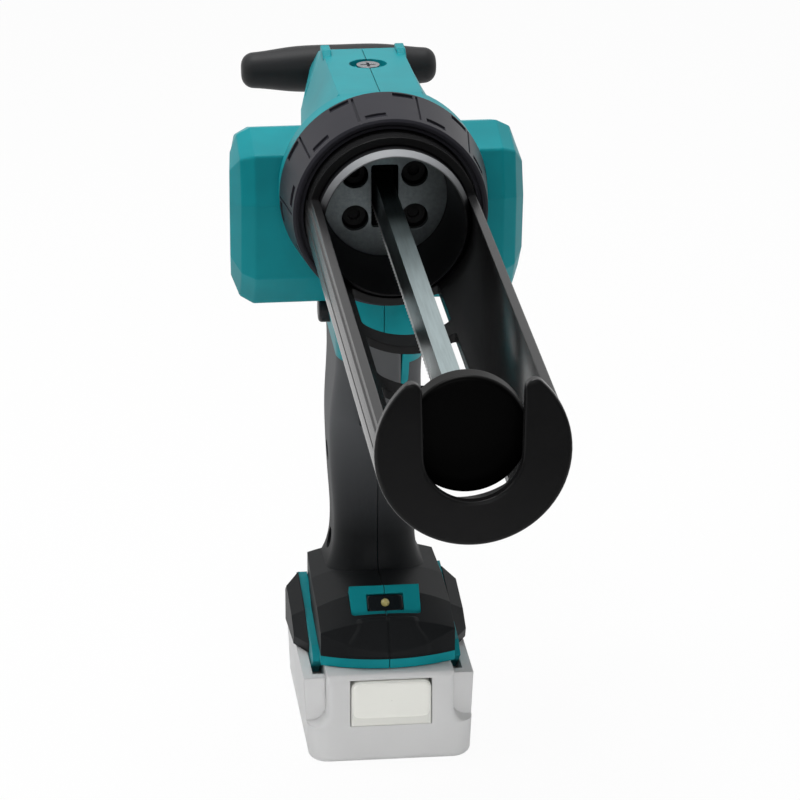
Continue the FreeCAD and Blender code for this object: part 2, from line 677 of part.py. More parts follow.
def motor_can():
    can = drive_cyl(MOTOR_R, MOTOR_BACK_X + CAP_T, -CASE_HALF)
    room = drive_cyl(MOTOR_BORE_R, MOTOR_BACK_X, -CASE_HALF - MOTOR_WALL)
    return can.cut(room).cut(drive_cyl(SHAFT_R + RUN_GAP, MOTOR_BACK_X, 0))


def magnets():
    ring = drive_tube(MOTOR_BORE_R - SHAFT_GAP, MOTOR_BORE_R - MAGNET_T, MOTOR_BACK_X + 6.4, -CASE_HALF - 4)
    spread = box(MOTOR_BACK_X, 0, DRIVE_Y - 6, DRIVE_Y + 6, DRIVE_Z - 30, DRIVE_Z + 30)
    return ring.cut(spread)


def armature():
    r = MOTOR_BORE_R - MAGNET_T - 2 * RUN_GAP
    core = drive_cyl(r, MOTOR_BACK_X + 8.4, -CASE_HALF - 6)
    slots = []
    for index in range(5):
        slot = box(MOTOR_BACK_X, 0, DRIVE_Y - 1.4, DRIVE_Y + 1.4, DRIVE_Z + r * 0.45, DRIVE_Z + r + 1)
        slot.rotate(V(0, DRIVE_Y, DRIVE_Z), V(1, 0, 0), index * 72.0)
        slots.append(slot)
    return core.cut(Part.makeCompound(slots)).cut(drive_cyl(SHAFT_R + SHAFT_GAP, MOTOR_BACK_X, 0))


def commutator():
    drum = drive_cyl(5.0, MOTOR_BACK_X + CAP_T, MOTOR_BACK_X + 8.0)
    slits = []
    for index in range(5):
        slit = box(MOTOR_BACK_X, 0, DRIVE_Y - 0.25, DRIVE_Y + 0.25, DRIVE_Z + 3.6, DRIVE_Z + 6)
        slit.rotate(V(0, DRIVE_Y, DRIVE_Z), V(1, 0, 0), index * 72.0)
        slits.append(slit)
    return drum.cut(Part.makeCompound(slits)).cut(drive_cyl(SHAFT_R + SHAFT_GAP, MOTOR_BACK_X, 0))


def motor_cap():
    back = MOTOR_BACK_X
    disc = drive_cyl(MOTOR_R, back, back + CAP_T - SEAT_GAP)
    ring = drive_tube(MOTOR_BORE_R - SEAT_GAP, MOTOR_BORE_R - 3, back + 2, back + 6)
    brush_h = MOTOR_BORE_R - 6.7
    brushes = [box(back + 2, back + 6.2, DRIVE_Y - 2, DRIVE_Y + 2, DRIVE_Z + low, DRIVE_Z + low + brush_h)
               for low in (5.3, -5.3 - brush_h)]
    return disc.fuse(ring).multiFuse(brushes).cut(drive_cyl(SHAFT_R + SHAFT_GAP, back, back + 10))


def motor_shaft():
    return drive_cyl(SHAFT_R, MOTOR_BACK_X + 0.4, RING_END_X - 0.6)


def stage_x(stage):
    """Start of a planetary stage along X: stage 1 is the outer one, on the motor shaft."""
    return CASE_HALF + (2 - stage) * STAGE_LENGTH


def sun_gear():
    x0 = stage_x(1) + CARRIER_T + 1.0
    teeth = gear(SUN_TEETH, GEAR_MODULE, x0, x0 + PLANET_W, DRIVE_Y, DRIVE_Z, math.pi / 2)
    return teeth.cut(drive_cyl(SHAFT_R + SHAFT_GAP, 0, RING_END_X))


def planet_place(index):
    angle = math.pi / 2 + 2 * math.pi * index / PLANET_COUNT
    return angle, DRIVE_Y + PLANET_ORBIT_R * math.cos(angle), DRIVE_Z + PLANET_ORBIT_R * math.sin(angle)


def planet(stage, index):
    angle, y, z = planet_place(index)
    x0 = stage_x(stage) + CARRIER_T + 1.0
    start = angle + math.pi / PLANET_TEETH
    teeth = gear(PLANET_TEETH, GEAR_MODULE, x0, x0 + PLANET_W, y, z, start, addendum=0.85)
    return teeth.cut(cyl_x(PLANET_PIN_R + SHAFT_GAP, 0, RING_END_X, y, z))


def carrier(stage):
    x0 = stage_x(stage) + 0.6
    x1 = x0 + CARRIER_T
    plate = drive_cyl(PLANET_ORBIT_R + 3.0, x0, x1)
    pins = [cyl_x(PLANET_PIN_R, x1 - 0.5, x1 + PLANET_W + 0.8, y, z)
            for angle, y, z in (planet_place(index) for index in range(PLANET_COUNT))]
    shape = plate.multiFuse(pins)
    if stage == 1:
        sun_x = stage_x(2) + CARRIER_T + 1.0
        shape = shape.fuse(gear(SUN_TEETH, GEAR_MODULE, sun_x, x0 + 0.2, DRIVE_Y, DRIVE_Z, math.pi / 2))
    return shape.cut(drive_cyl(SHAFT_R + SHAFT_GAP, 0, RING_END_X))


def ring_gear():
    blank = drive_cyl(RING_R, CASE_HALF, RING_END_X)
    start = math.pi / 2 + math.pi / RING_TEETH
    outline = gear_points(RING_TEETH, GEAR_MODULE, 1.1 * GEAR_MODULE, 0.75 * GEAR_MODULE, -BACKLASH, start)
    return blank.cut(prism_x([(DRIVE_Y + dy, DRIVE_Z + dz) for dy, dz in outline], CASE_HALF, RING_END_X))


def gear_cover():
    disc = drive_cyl(RING_R - 0.5, RING_END_X, RING_END_X + COVER_T)
    return disc.cut(drive_cyl(RING_R - 7, RING_END_X + 1.2, RING_END_X + COVER_T))


# Housing forms, each drawn in from its outer face by inset
def barrel_form(inset):
    r = BARREL_R - inset
    straight = HOUSING_FRONT_Y + BARREL_LENGTH
    ring = cyl_y(r, HOUSING_FRONT_Y + inset, straight)
    fade = cone_y(r, BARREL_BACK_R - inset, straight, straight + BARREL_FADE - inset)
    return fused([ring, fade]).common(box(-60, 60, -60, 100, -60, TOP_Z - inset))


def top_form(inset):
    front = HOUSING_FRONT_Y + WALL
    sections = [
        (front, TOP_Z, 12.0, 15.0, 26.0, -25.0), (front + 6.3, TOP_Z, 14.2, 15.0, 26.5, -25.0),
        (TOP_BACK_Y, TOP_BACK_Z, 14.0, 8.0, 21.5, -25.0), (TAIL_BACK_Y - inset, 7.4, 8.5, 1.5, 11.5, -17.0)]
    wires = []
    for y, top, top_half, side_top, side_half, low in sections:
        half = [(top_half - 0.6 * inset, top - inset), (side_half - inset, side_top),
                (side_half - inset, low + inset)]
        outline = half + [(-x, z) for x, z in reversed(half)]
        wires.append(closed([V(x, y, z) for x, z in outline]))
    return Part.makeLoft(wires, True, True)


def drum_outline(x, slant, share_y, share_z):
    outline = [(19, 9.5), (38, 14), (52, 10), (65, -4), (68, -18), (62, -34), (50, -44), (29, -46.8), (18, -34.2),
               (14.5, -7)]
    points = []
    for y, z in outline:
        out_y = share_y * (y - DRUM_MID_Y)
        out_z = share_z * (z - DRUM_MID_Z)
        points.append(V(x - slant * (out_y + 16.0), DRUM_MID_Y + out_y, DRUM_MID_Z + out_z))
    return closed(points)


def drum_form(inset):
    share = 1.0 - inset / 25.0
    end = DRUM_HALF - inset
    face = DRUM_FACE_HALF - 0.4 * inset
    bulge = face + DRUM_BULGE_X * (end - face)
    right = [(face, 0.0, 1.0, 1.0), (bulge, 0.0, DRUM_BULGE_Y, DRUM_BULGE_Z),
             (end, DRUM_SLANT, DRUM_SHARE_Y, DRUM_SHARE_Z)]
    left = [(-x, -slant, out_y, out_z) for x, slant, out_y, out_z in reversed(right)]
    wires = [drum_outline(x, slant, share * out_y, share * out_z) for x, slant, out_y, out_z in left + right]
    return Part.makeLoft(wires, True, True)


def handle_form(inset):
    sections = [(-30, 2, 75, 19.0), (-44, 2, 73, 17.5), (-56, 5, 70, 15.6), (-72, 12, 67, 15.0),
                (-90, 19, 66, 16.1)]
    lower = [(0.25, 23, 66, 15.9), (0.54, 25, 66, 15.0), (0.84, 26.3, 65, 14.4), (0.95, 25.2, 65.2, 15.2),
             (1.08, 21, 66, 18.6)]
    fall = FOOT_TOP_Z - sections[-1][0]
    sections += [(sections[-1][0] + share * fall, y0, y1, half) for share, y0, y1, half in lower]
    wires = [rounded_outline(z, y0 + inset, y1 - inset, half - inset, (half - inset) * 0.86)
             for z, y0, y1, half in sections]
    return Part.makeLoft(wires, True, False)


def foot_form(inset):
    sections = [
        (FOOT_FRONT_Y, 23.4, 4.0, 6.0), (-8.5, 23.4, 11.8, 15.5), (6.0, 23.4, 15.5, 21.0),
        (30.0, 23.2, 16.8, 21.5), (54.0, 22.4, 17.0, 20.5), (64.0, 21.4, 9.0, 12.0), (68.0, 20.0, 2.5, 4.0)]
    low = FOOT_LOW_Z + (inset if inset > GRIP_T else 0.0)
    wires = []
    for index, (y, half, side, crown) in enumerate(sections):
        if index == 0:
            y += inset
        if index == len(sections) - 1:
            y -= inset
        side_z = max(FOOT_LOW_Z + side - inset, low + 0.5)
        crown_z = max(FOOT_LOW_Z + crown - inset, side_z + 0.3)
        right = V(half - inset, y, side_z)
        left = V(inset - half, y, side_z)
        arch = Part.Arc(left, V(0, y, crown_z), right).toShape()
        sides = Part.makePolygon([right, V(half - inset, y, low), V(inset - half, y, low), left])
        wires.append(Part.Wire([arch] + sides.Edges))
    bow = Part.makeCylinder(FOOT_BOW_R - inset, 60, V(0, FOOT_FRONT_Y + FOOT_BOW_R, FOOT_LOW_Z - 10))
    return Part.makeLoft(wires, True, True).common(bow)


def lower_form(inset):
    return handle_form(inset).fuse(foot_form(inset))


def lamp_frame(along_face, out, side):
    """Point on the lamp's sloping floor: distance down the slope, out of it, and to the side."""
    y = LAMP_TOP_Y - along_face * math.cos(LAMP_SLOPE) - out * math.sin(LAMP_SLOPE)
    z = FOOT_LOW_Z + LAMP_RISE - along_face * math.sin(LAMP_SLOPE) + out * math.cos(LAMP_SLOPE)
    return V(side, y, z)


def lamp_block(half, down0, down1, out0, out1):
    corners = [(down0, out0), (down1, out0), (down1, out1), (down0, out1)]
    wire = closed([lamp_frame(down, out, -half) for down, out in corners])
    return Part.Face(wire).extrude(V(2 * half, 0, 0))


def grip_zone():
    top = [(-40, GRIP_TOP_Z - 80 * GRIP_TOP_SLOPE), (40, GRIP_TOP_Z), (100, GRIP_TOP_Z + 60 * GRIP_TOP_SLOPE)]
    zone = prism_x(top + [(100, RIM_TOP_Z), (-40, RIM_TOP_Z)], -60, 60)
    frame_half = TRIGGER_HALF + 3
    frame = box(-frame_half, frame_half, -20, 14, TRIGGER_LOW_Z - 4.5, TRIGGER_TOP_Z + 11.5)
    frame = rounded(frame, 2.5, lambda edge: along(edge, V(0, 1, 0)))
    return zone.cut(frame)


def trigger_room(gap):
    side = TRIGGER_HALF + gap
    return box(-side, side, -30, TRIGGER_BACK_Y + 2, TRIGGER_LOW_Z - gap, TRIGGER_TOP_Z + gap)


def dial_room():
    side = DIAL_W / 2 + RUN_GAP
    return box(-side, side, DIAL_Y, 100, DIAL_Z - DIAL_R - 1, DIAL_Z + DIAL_R + 1)


def dial_seat(gap):
    left = -DIAL_W / 2 - DIAL_SEAT_T
    return box(left, -DIAL_W / 2 - 0.5, DIAL_Y - 6 - gap, DIAL_Y + 2 + gap, DIAL_Z - 5 - gap,
               DIAL_Z + 5 + gap)


# Housing, split at its seam
def skirt():
    outline = [(-5, 0.0), (1, 3.5), (30, 5.5), (50, 9.2), (58, 10.0), (62, 4.0)]
    points = [(y, FOOT_LOW_Z + up) for y, up in outline]
    low = BASE_TOP_Z + RUN_GAP
    return prism_x(points + [(62, low), (9, low)], SKIRT_X0, SKIRT_X1)


def bumper_low(y):
    """Height of the bumper's sloping underside at a place along the tool."""
    return SIDE_TOP_Z + RUN_GAP - BUMPER_FALL * max(0.0, y - 22.0)


def bumper():
    inner = [(9, 0.5), (26, 6.5), (53, 10.0), (58, 6.0)]
    outer = [(18, 0.2), (27, 4.0), (48, 6.8), (53, 3.5)]
    wires = []
    for x, outline, back, front in ((SKIRT_X1, inner, 58.0, 11.0), (BUMPER_X, outer, 53.0, 20.0)):
        points = [(y, FOOT_LOW_Z + up) for y, up in outline]
        points += [(y, bumper_low(y)) for y in (back, 22.0, front)]
        wires.append(closed([V(x, y, z) for y, z in points]))
    return Part.makeLoft(wires, True, True)


def lugs():
    back = TOP_BACK_Y - 0.5
    front = back - LUG_LENGTH
    low = TOP_BACK_Z - 2.0
    top = TOP_BACK_Z + LUG_H
    outline = [(front, low), (front, TOP_BACK_Z), (front + LUG_SLOPE, top), (back, top), (back, low)]
    lug = prism_x(outline, LUG_X - LUG_W / 2, LUG_X + LUG_W / 2)
    lug = rounded(lug, 0.6, lambda edge: edge.CenterOfMass.z > TOP_BACK_Z + 0.5)
    return [lug, mirrored(lug)]


def screw_cuts():
    cuts = []
    for y, z in SCREW_PLACES:
        cuts.append(cyl_x(SCREW_HEAD_R + RUN_GAP, -60, -SCREW_SEAT_X, y, z))
        cuts.append(cyl_x(SCREW_SHANK_R + RUN_GAP, -60, 0, y, z))
        cuts.append(cyl_x(SCREW_SHANK_R + SHAFT_GAP, 0, SCREW_LENGTH - SCREW_SEAT_X + 1.0, y, z))
    return cuts


def top_screw_cuts():
    recess = Part.makeCylinder(TOP_RECESS_R, 10, V(0, TOP_SCREW_Y, TOP_SEAT_Z))
    hole = Part.makeCylinder(BOLT_R + RUN_GAP, 30, V(0, TOP_SCREW_Y, TOP_SEAT_Z - 23))
    return [recess, hole]


def inner_stays():
    stays = [cyl_x(SCREW_HEAD_R + SCREW_WALL, -60, 0, y, z) for y, z in SCREW_PLACES]
    stays += [cyl_x(SCREW_SHANK_R + SCREW_WALL, 0, 60, y, z) for y, z in SCREW_PLACES]
    stays.append(Part.makeCylinder(6.0, 40, V(0, TOP_SCREW_Y, CASE_TOP_Z + SEAT_GAP)))
    for low in (SWITCH_TOP_Z + SEAT_GAP, SWITCH_LOW_Z - SEAT_GAP - RIB_T):
        stays.append(box(-40, 40, SWITCH_FRONT_Y - 1, SWITCH_BACK_Y, low, low + RIB_T))
    seat_x = -DIAL_W / 2 - DIAL_SEAT_T - SEAT_GAP
    stays.append(box(-40, seat_x, DIAL_Y - 6, DIAL_Y + 2, DIAL_Z - 4, DIAL_Z + 4))
    return fused(stays)


def housing():
    whole_lower = lower_form(0.0)
    skin = whole_lower.cut(lower_form(GRIP_T)).common(grip_zone())
    drum = rounded(drum_form(0.0), DRUM_EDGE_R, lambda edge: True)
    upper = fused([drum, barrel_form(0.0), top_form(0.0)])
    collar_room = cyl_y(COLLAR_R + 2 * RUN_GAP, -60, HOUSING_FRONT_Y)
    lamp_pad = lamp_block(LAMP_HALF, -0.5, LAMP_LENGTH + 0.5, -7, 0)
    skirts = skirt().fuse(mirrored(skirt()))
    skin = skin.cut(upper).cut(skirts).cut(lamp_pad)
    outer = upper.fuse(whole_lower.cut(skin)).fuse(skirts).multiFuse(lugs()).cut(collar_room)
    inner = fused([drum_form(WALL), barrel_form(WALL), top_form(WALL)]).fuse(lower_form(GRIP_T + WALL))
    shell = outer.cut(inner).fuse(inner_stays().common(inner)).fuse(lamp_pad)
    pocket = lamp_block(LAMP_HALF, 0, LAMP_LENGTH, 0, 20)
    pocket = rounded(pocket, 1.5, lambda edge: edge.Length > 15 and not along(edge, V(1, 0, 0)))
    terminal_side = TERMINAL_HALF + SEAT_GAP
    bush_side = BUSH_HALF + SEAT_GAP
    openings = screw_cuts() + top_screw_cuts() + [
        pocket, lamp_block(LENS_HALF + SEAT_GAP, LENS_DROP, LENS_DROP + LENS_H + 2 * SEAT_GAP, -20, 1),
        cyl_y(SPIGOT_R + SEAT_GAP, -10, CASE_FRONT_Y + SEAT_GAP),
        box(-bush_side, bush_side, TAIL_BACK_Y - 8, TAIL_BACK_Y + 5, BUSH_LOW_Z - SEAT_GAP,
            BUSH_TOP_Z + SEAT_GAP),
        trigger_room(RUN_GAP), cyl_x(LOCK_R + RUN_GAP, -60, 60, LOCK_Y, LOCK_Z), dial_room(),
        dial_seat(RUN_GAP),
        box(-terminal_side, terminal_side, TERMINAL_FRONT_Y - SEAT_GAP, TERMINAL_BACK_Y + SEAT_GAP, FOOT_LOW_Z - 5,
            FOOT_LOW_Z + 6)]
    shell = shell.cut(Part.makeCompound(openings))
    skin = skin.cut(Part.makeCompound(screw_cuts() + [pocket, trigger_room(RUN_GAP), dial_room()]))
    return shell, skin


def half(shape, side):
    x0, x1 = sorted((side * SEAM_GAP / 2, side * 80))
    return shape.common(box(x0, x1, -60, TAIL_BACK_Y + 20, BATTERY_LOW_Z, 80))


def housing_screws():
    solids = []
    for y, z in SCREW_PLACES:
        head = cyl_x(SCREW_HEAD_R, -SCREW_SEAT_X - SCREW_HEAD_T, -SCREW_SEAT_X, y, z)
        shank = cyl_x(SCREW_SHANK_R, -SCREW_SEAT_X - 1, SCREW_LENGTH - SCREW_SEAT_X, y, z)
        drive = cyl_x(1.3, -SCREW_SEAT_X - 3, -SCREW_SEAT_X - 1.2, y, z)
        solids.append(head.fuse(shank).cut(drive))
    return Part.makeCompound(solids)


def top_screw():
    head = Part.makeCylinder(BOLT_HEAD_R, 1.8, V(0, TOP_SCREW_Y, TOP_SEAT_Z))
    shank = Part.makeCylinder(BOLT_R, 18, V(0, TOP_SCREW_Y, TOP_SEAT_Z - 17))
    slot = TOP_SEAT_Z + 0.8
    drives = [box(-2.6, 2.6, TOP_SCREW_Y - 0.5, TOP_SCREW_Y + 0.5, slot, slot + 4),
              box(-0.5, 0.5, TOP_SCREW_Y - 2.6, TOP_SCREW_Y + 2.6, slot, slot + 4)]
    return head.fuse(shank).cut(Part.makeCompound(drives))


def rear_bush():
    front = TAIL_BACK_Y - WALL - 3.0
    block = box(-BUSH_HALF, BUSH_HALF, front, TAIL_BACK_Y, BUSH_LOW_Z, BUSH_TOP_Z)
    return block.cut(rack_room(front, TAIL_BACK_Y))


# Trigger, buttons, dial and lamp
def trigger():
    curve = [(4.0, -1.5), (6.6, -8.5), (8.8, -18.5), (8.6, -27.5), (7.4, -34.5)]
    points = [V(-TRIGGER_HALF, y, TRIGGER_TOP_Z + down) for y, down in curve]
    front = Part.BSplineCurve()
    front.interpolate(points)
    back = [points[-1], V(-TRIGGER_HALF, 9.0, TRIGGER_LOW_Z), V(-TRIGGER_HALF, TRIGGER_BACK_Y, TRIGGER_LOW_Z),
            V(-TRIGGER_HALF, TRIGGER_BACK_Y, TRIGGER_TOP_Z), V(-TRIGGER_HALF, 5.5, TRIGGER_TOP_Z), points[0]]
    face = Part.Face(Part.Wire([front.toShape()] + Part.makePolygon(back).Edges))
    body = face.extrude(V(2 * TRIGGER_HALF, 0, 0))
    body = rounded(body, 2.0, lambda edge: edge.CenterOfMass.y < 8.9 and edge.Length > 20)
    return body.cut(cyl_y(PLUNGER_R + RUN_GAP + SEAT_GAP, 12, TRIGGER_BACK_Y + 1, 0, PLUNGER_Z))


def switch():
    case = box(-SWITCH_HALF, SWITCH_HALF, SWITCH_FRONT_Y, SWITCH_BACK_Y, SWITCH_LOW_Z, SWITCH_TOP_Z)
    case = rounded(case, 1.0, lambda edge: along(edge, V(0, 1, 0)))
    plunger = cyl_y(PLUNGER_R, TRIGGER_BACK_Y + 1, SWITCH_FRONT_Y + 1, 0, PLUNGER_Z)
    return case.fuse(plunger)


def trigger_spring():
    start = TRIGGER_BACK_Y + SPRING_WIRE_R + 0.15
    length = SWITCH_FRONT_Y - TRIGGER_BACK_Y - 2 * SPRING_WIRE_R - 0.3
    helix = Part.makeHelix(SPRING_PITCH, length, SPRING_R)
    circle = Part.Wire([Part.Circle(V(SPRING_R, 0, 0), V(0, 1, 0), SPRING_WIRE_R).toShape()])
    coil = Part.Wire(helix.Edges).makePipeShell([circle], True, True)
    coil.rotate(V(0, 0, 0), V(1, 0, 0), -90)
    coil.translate(V(0, start, PLUNGER_Z))
    return coil


def lock_button():
    bolt = cyl_x(LOCK_R, LOCK_LEFT_X, LOCK_LEFT_X + LOCK_LENGTH, LOCK_Y, LOCK_Z)
    return rounded(bolt, 1.2, lambda edge: edge.Curve.TypeId == "Part::GeomCircle")


def speed_dial():
    wheel = cyl_x(DIAL_R, -DIAL_W / 2, DIAL_W / 2, DIAL_Y, DIAL_Z)
    grips = []
    for index in range(DIAL_GRIPS):
        grip = cyl_x(0.6, -DIAL_W, DIAL_W, DIAL_Y, DIAL_Z + DIAL_R + 0.2)
        grip.rotate(V(0, DIAL_Y, DIAL_Z), V(1, 0, 0), index * 360.0 / DIAL_GRIPS)
        grips.append(grip)
    axle = cyl_x(DIAL_AXLE_R, -DIAL_W / 2 - 3.5, DIAL_W / 2, DIAL_Y, DIAL_Z)
    return wheel.cut(Part.makeCompound(grips)).fuse(axle)


def dial_base():
    return dial_seat(0.0).cut(cyl_x(DIAL_AXLE_R + SHAFT_GAP, -20, 0, DIAL_Y, DIAL_Z))


def lamp_lens():
    top = LENS_DROP + SEAT_GAP
    plate = lamp_block(LENS_HALF, top, top + LENS_H, -2.4, -0.4)
    dome = Part.makeSphere(LENS_DOME_R, lamp_frame(top + LENS_H / 2, -1.6, 0))
    return plate.fuse(dome.common(lamp_block(LENS_HALF, 0, 12, -2.4, 5)))


def lamp_board():
    top = LENS_DROP + SEAT_GAP
    return lamp_block(LENS_HALF - 0.2, top + 0.2, top + LENS_H - 0.2, -4.2, -2.5)


# Foot: terminals and control board
def terminal_block():
    floor = FOOT_FLOOR_Z
    body = box(-TERMINAL_HALF, TERMINAL_HALF, TERMINAL_FRONT_Y, TERMINAL_BACK_Y, FOOT_LOW_Z,
               floor + TERMINAL_RISE)
    lip_half = TERMINAL_HALF + 1.6
    lip = box(-lip_half, lip_half, TERMINAL_FRONT_Y - 2, TERMINAL_BACK_Y + 2, floor + SEAT_GAP, floor + 1.8)
    return body.fuse(lip)


def terminal_blades():
    solids = []
    for x in (-BLADE_X, BLADE_X):
        solids.append(box(x - BLADE_T / 2, x + BLADE_T / 2, 14, 34, FOOT_LOW_Z - BLADE_H, FOOT_LOW_Z - 0.02))
    return Part.makeCompound(solids)


def control_board():
    low = FOOT_FLOOR_Z + TERMINAL_RISE
    top = low + BOARD_T
    board = box(-TERMINAL_HALF + 1, TERMINAL_HALF - 1, TERMINAL_FRONT_Y, TERMINAL_BACK_Y - 2, low, top)
    cap = Part.makeCylinder(4.0, 5.0, V(-8, 36, top))
    power = [box(2, 12, y, y + 4.5, top, top + 4.5) for y in (30, 38)]
    return board.multiFuse([cap] + power)


# Battery
def battery_outer():
    low = rounded_outline(BATTERY_LOW_Z, BATTERY_FRONT_Y, BATTERY_BACK_Y, BATTERY_LOW_HALF, BATTERY_CORNER_R)
    top = rounded_outline(SIDE_TOP_Z, BATTERY_FRONT_Y, BATTERY_BACK_Y, BATTERY_TOP_HALF, BATTERY_CORNER_R)
    tub = Part.makeLoft([low, top], True, True)
    return rounded(tub, BATTERY_EDGE_R, lambda edge: edge.BoundBox.ZMax < BATTERY_LOW_Z + 0.1)


def button_room():
    back = BATTERY_FRONT_Y + BUTTON_DEPTH + BUTTON_TRAVEL
    side = BUTTON_HALF + RUN_GAP
    return box(-side, side, BATTERY_FRONT_Y - 10, back, BUTTON_LOW_Z - RUN_GAP, BUTTON_TOP_Z + RUN_GAP)


def cell_space(half_x, z0, z1):
    return box(-half_x, half_x, -0.4, CELL_LENGTH + 0.4, z0, z1)


def battery_front():
    """Raised middle of the battery's front, flared to the shoulders beside it."""
    low = BATTERY_LOW_Z + SHOULDER_RISE
    far = 2 * BATTERY_TOP_HALF
    flare = SHOULDER_R
    turn = flare * (1 - math.sqrt(0.5))
    y = BATTERY_FRONT_Y
    top = BATTERY_TOP_Z
    base = [(LID_HALF + flare, low), (far, low), (far, low - flare), (-far, low - flare), (-far, low),
            (-LID_HALF - flare, low)]
    crest = [(-LID_HALF, low + flare), (-LID_HALF, top), (LID_HALF, top), (LID_HALF, low + flare)]
    left = [base[-1], (-LID_HALF - turn, low + turn), crest[0]]
    right = [crest[-1], (LID_HALF + turn, low + turn), base[0]]
    edges = Part.makePolygon([V(x, y, z) for x, z in base]).Edges
    edges.append(Part.Arc(*[V(x, y, z) for x, z in left]).toShape())
    edges += Part.makePolygon([V(x, y, z) for x, z in crest]).Edges
    edges.append(Part.Arc(*[V(x, y, z) for x, z in right]).toShape())
    body = Part.Face(Part.Wire(edges)).extrude(V(0, FRONT_WALL, 0))
    front = [edge for edge in body.Edges if edge.BoundBox.YMax < y + 1e-3 and edge.BoundBox.ZMin > low - 1e-3]
    return body.makeFillet(FRONT_EDGE_R, front)


def battery_case():
    outer = battery_outer()
    low = BATTERY_LOW_Z + SHOULDER_RISE
    lid_front = BATTERY_FRONT_Y + FRONT_WALL
    fall = BUMPER_FALL * 78.0
    crest = box(-LID_HALF, LID_HALF, BATTERY_FRONT_Y, lid_front, low, BATTERY_TOP_Z)
    corner = box(-60, 60, BATTERY_FRONT_Y, lid_front, low - SHOULDER_R, 0)
    tub = fused([outer.cut(corner), battery_front().common(outer.fuse(crest))])
    above = prism_x([(22, SIDE_TOP_Z), (100, SIDE_TOP_Z - fall), (100, 0), (22, 0)], -60, 60)
    lid_zone = box(-LID_HALF - SEAT_GAP, LID_HALF + SEAT_GAP, lid_front, 100, BASE_TOP_Z, 0)
    channels = box(-CHANNEL_X, CHANNEL_X, lid_front + CHANNEL_STOP, 100, BASE_TOP_Z, 0)
    floor = BASE_TOP_Z - BATTERY_WALL + 0.4
    wide = cell_space(BATTERY_LOW_HALF - BATTERY_WALL, BATTERY_LOW_Z + BATTERY_WALL, floor)
    throat = cell_space(LID_HALF - BATTERY_WALL, floor, BASE_TOP_Z)
    for room in (above, lid_zone, channels, wide, throat, button_room()):
        tub = tub.cut(room)
    return tub


def battery_lid():
    front = BATTERY_FRONT_Y + FRONT_WALL + SEAT_GAP
    lid = box(-LID_HALF, LID_HALF, front, BATTERY_BACK_Y - 1.0, BASE_TOP_Z, BATTERY_TOP_Z)
    lid = rounded(lid, 2.0, lambda edge: along(edge, V(0, 0, 1)) and edge.CenterOfMass.y > 0)
    lid = rounded(lid, 0.8, lambda edge: edge.BoundBox.ZMin > BATTERY_TOP_Z - 0.1)
    room = cell_space(LID_HALF - BATTERY_WALL, BASE_TOP_Z, BATTERY_TOP_Z - 1.8)
    slot_half = BLADE_T / 2 + 0.8
    slots = [box(x - slot_half, x + slot_half, 10, 100, FOOT_LOW_Z - BLADE_H - 1.0, FOOT_LOW_Z)
             for x in (-BLADE_X, BLADE_X)]
    return lid.cut(room).cut(Part.makeCompound(slots)).cut(button_room())


def battery_button():
    front = BATTERY_FRONT_Y - BUTTON_PROUD
    pad = box(-BUTTON_HALF, BUTTON_HALF, front, BATTERY_FRONT_Y + BUTTON_DEPTH, BUTTON_LOW_Z, BUTTON_TOP_Z)
    middle = (BUTTON_LOW_Z + BUTTON_TOP_Z) / 2
    pad = rounded(pad, BUTTON_CORNER_R, lambda edge: along(edge, V(0, 1, 0)) and edge.CenterOfMass.z > middle)
    return rounded(pad, 1.0, lambda edge: abs(edge.CenterOfMass.y - front) < 1e-3)


def cells():
    low_z = BATTERY_LOW_Z + BATTERY_WALL + CELL_R
    spread = math.sqrt(4 * CELL_R ** 2 - CELL_RISE ** 2) + 0.1
    places = ((-spread, 0), (0, CELL_RISE), (spread, 0))
    return Part.makeCompound([cyl_y(CELL_R, 0, CELL_LENGTH, x, low_z + up) for x, up in places])


def build():
    os.makedirs("parts", exist_ok=True)
    shell, skin = housing()
    for side, name in ((-1, "left"), (1, "right")):
        save("housing_" + name, half(shell, side))
        save("grip_" + name, half(skin, side))
        save("bumper_" + name, bumper() if side > 0 else mirrored(bumper()))
        save("bearing_" + name, bearing(side))
    makers = [
        holder, collar, gear_case, guide_plate, case_screws, rack, piston, piston_pin, t_handle, handle_screw,
        rack_pinion, roller, roller_pin, motor_can, magnets, armature, commutator, motor_cap, motor_shaft,
        sun_gear, ring_gear, gear_cover, housing_screws, top_screw, rear_bush, trigger, switch, trigger_spring,
        lock_button, speed_dial, dial_base, lamp_lens, lamp_board, terminal_block, terminal_blades, control_board,
        battery_case, battery_lid, battery_button, cells]
    for maker in makers:
        save(maker.__name__, maker())
    for stage in (1, 2):
        save("carrier_" + str(stage), carrier(stage))
        for index in range(PLANET_COUNT):
            save("planet_" + str(stage) + "_" + str(index + 1), planet(stage, index))


build()
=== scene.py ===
"""Looks for a cordless caulking tool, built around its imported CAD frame."""
import math

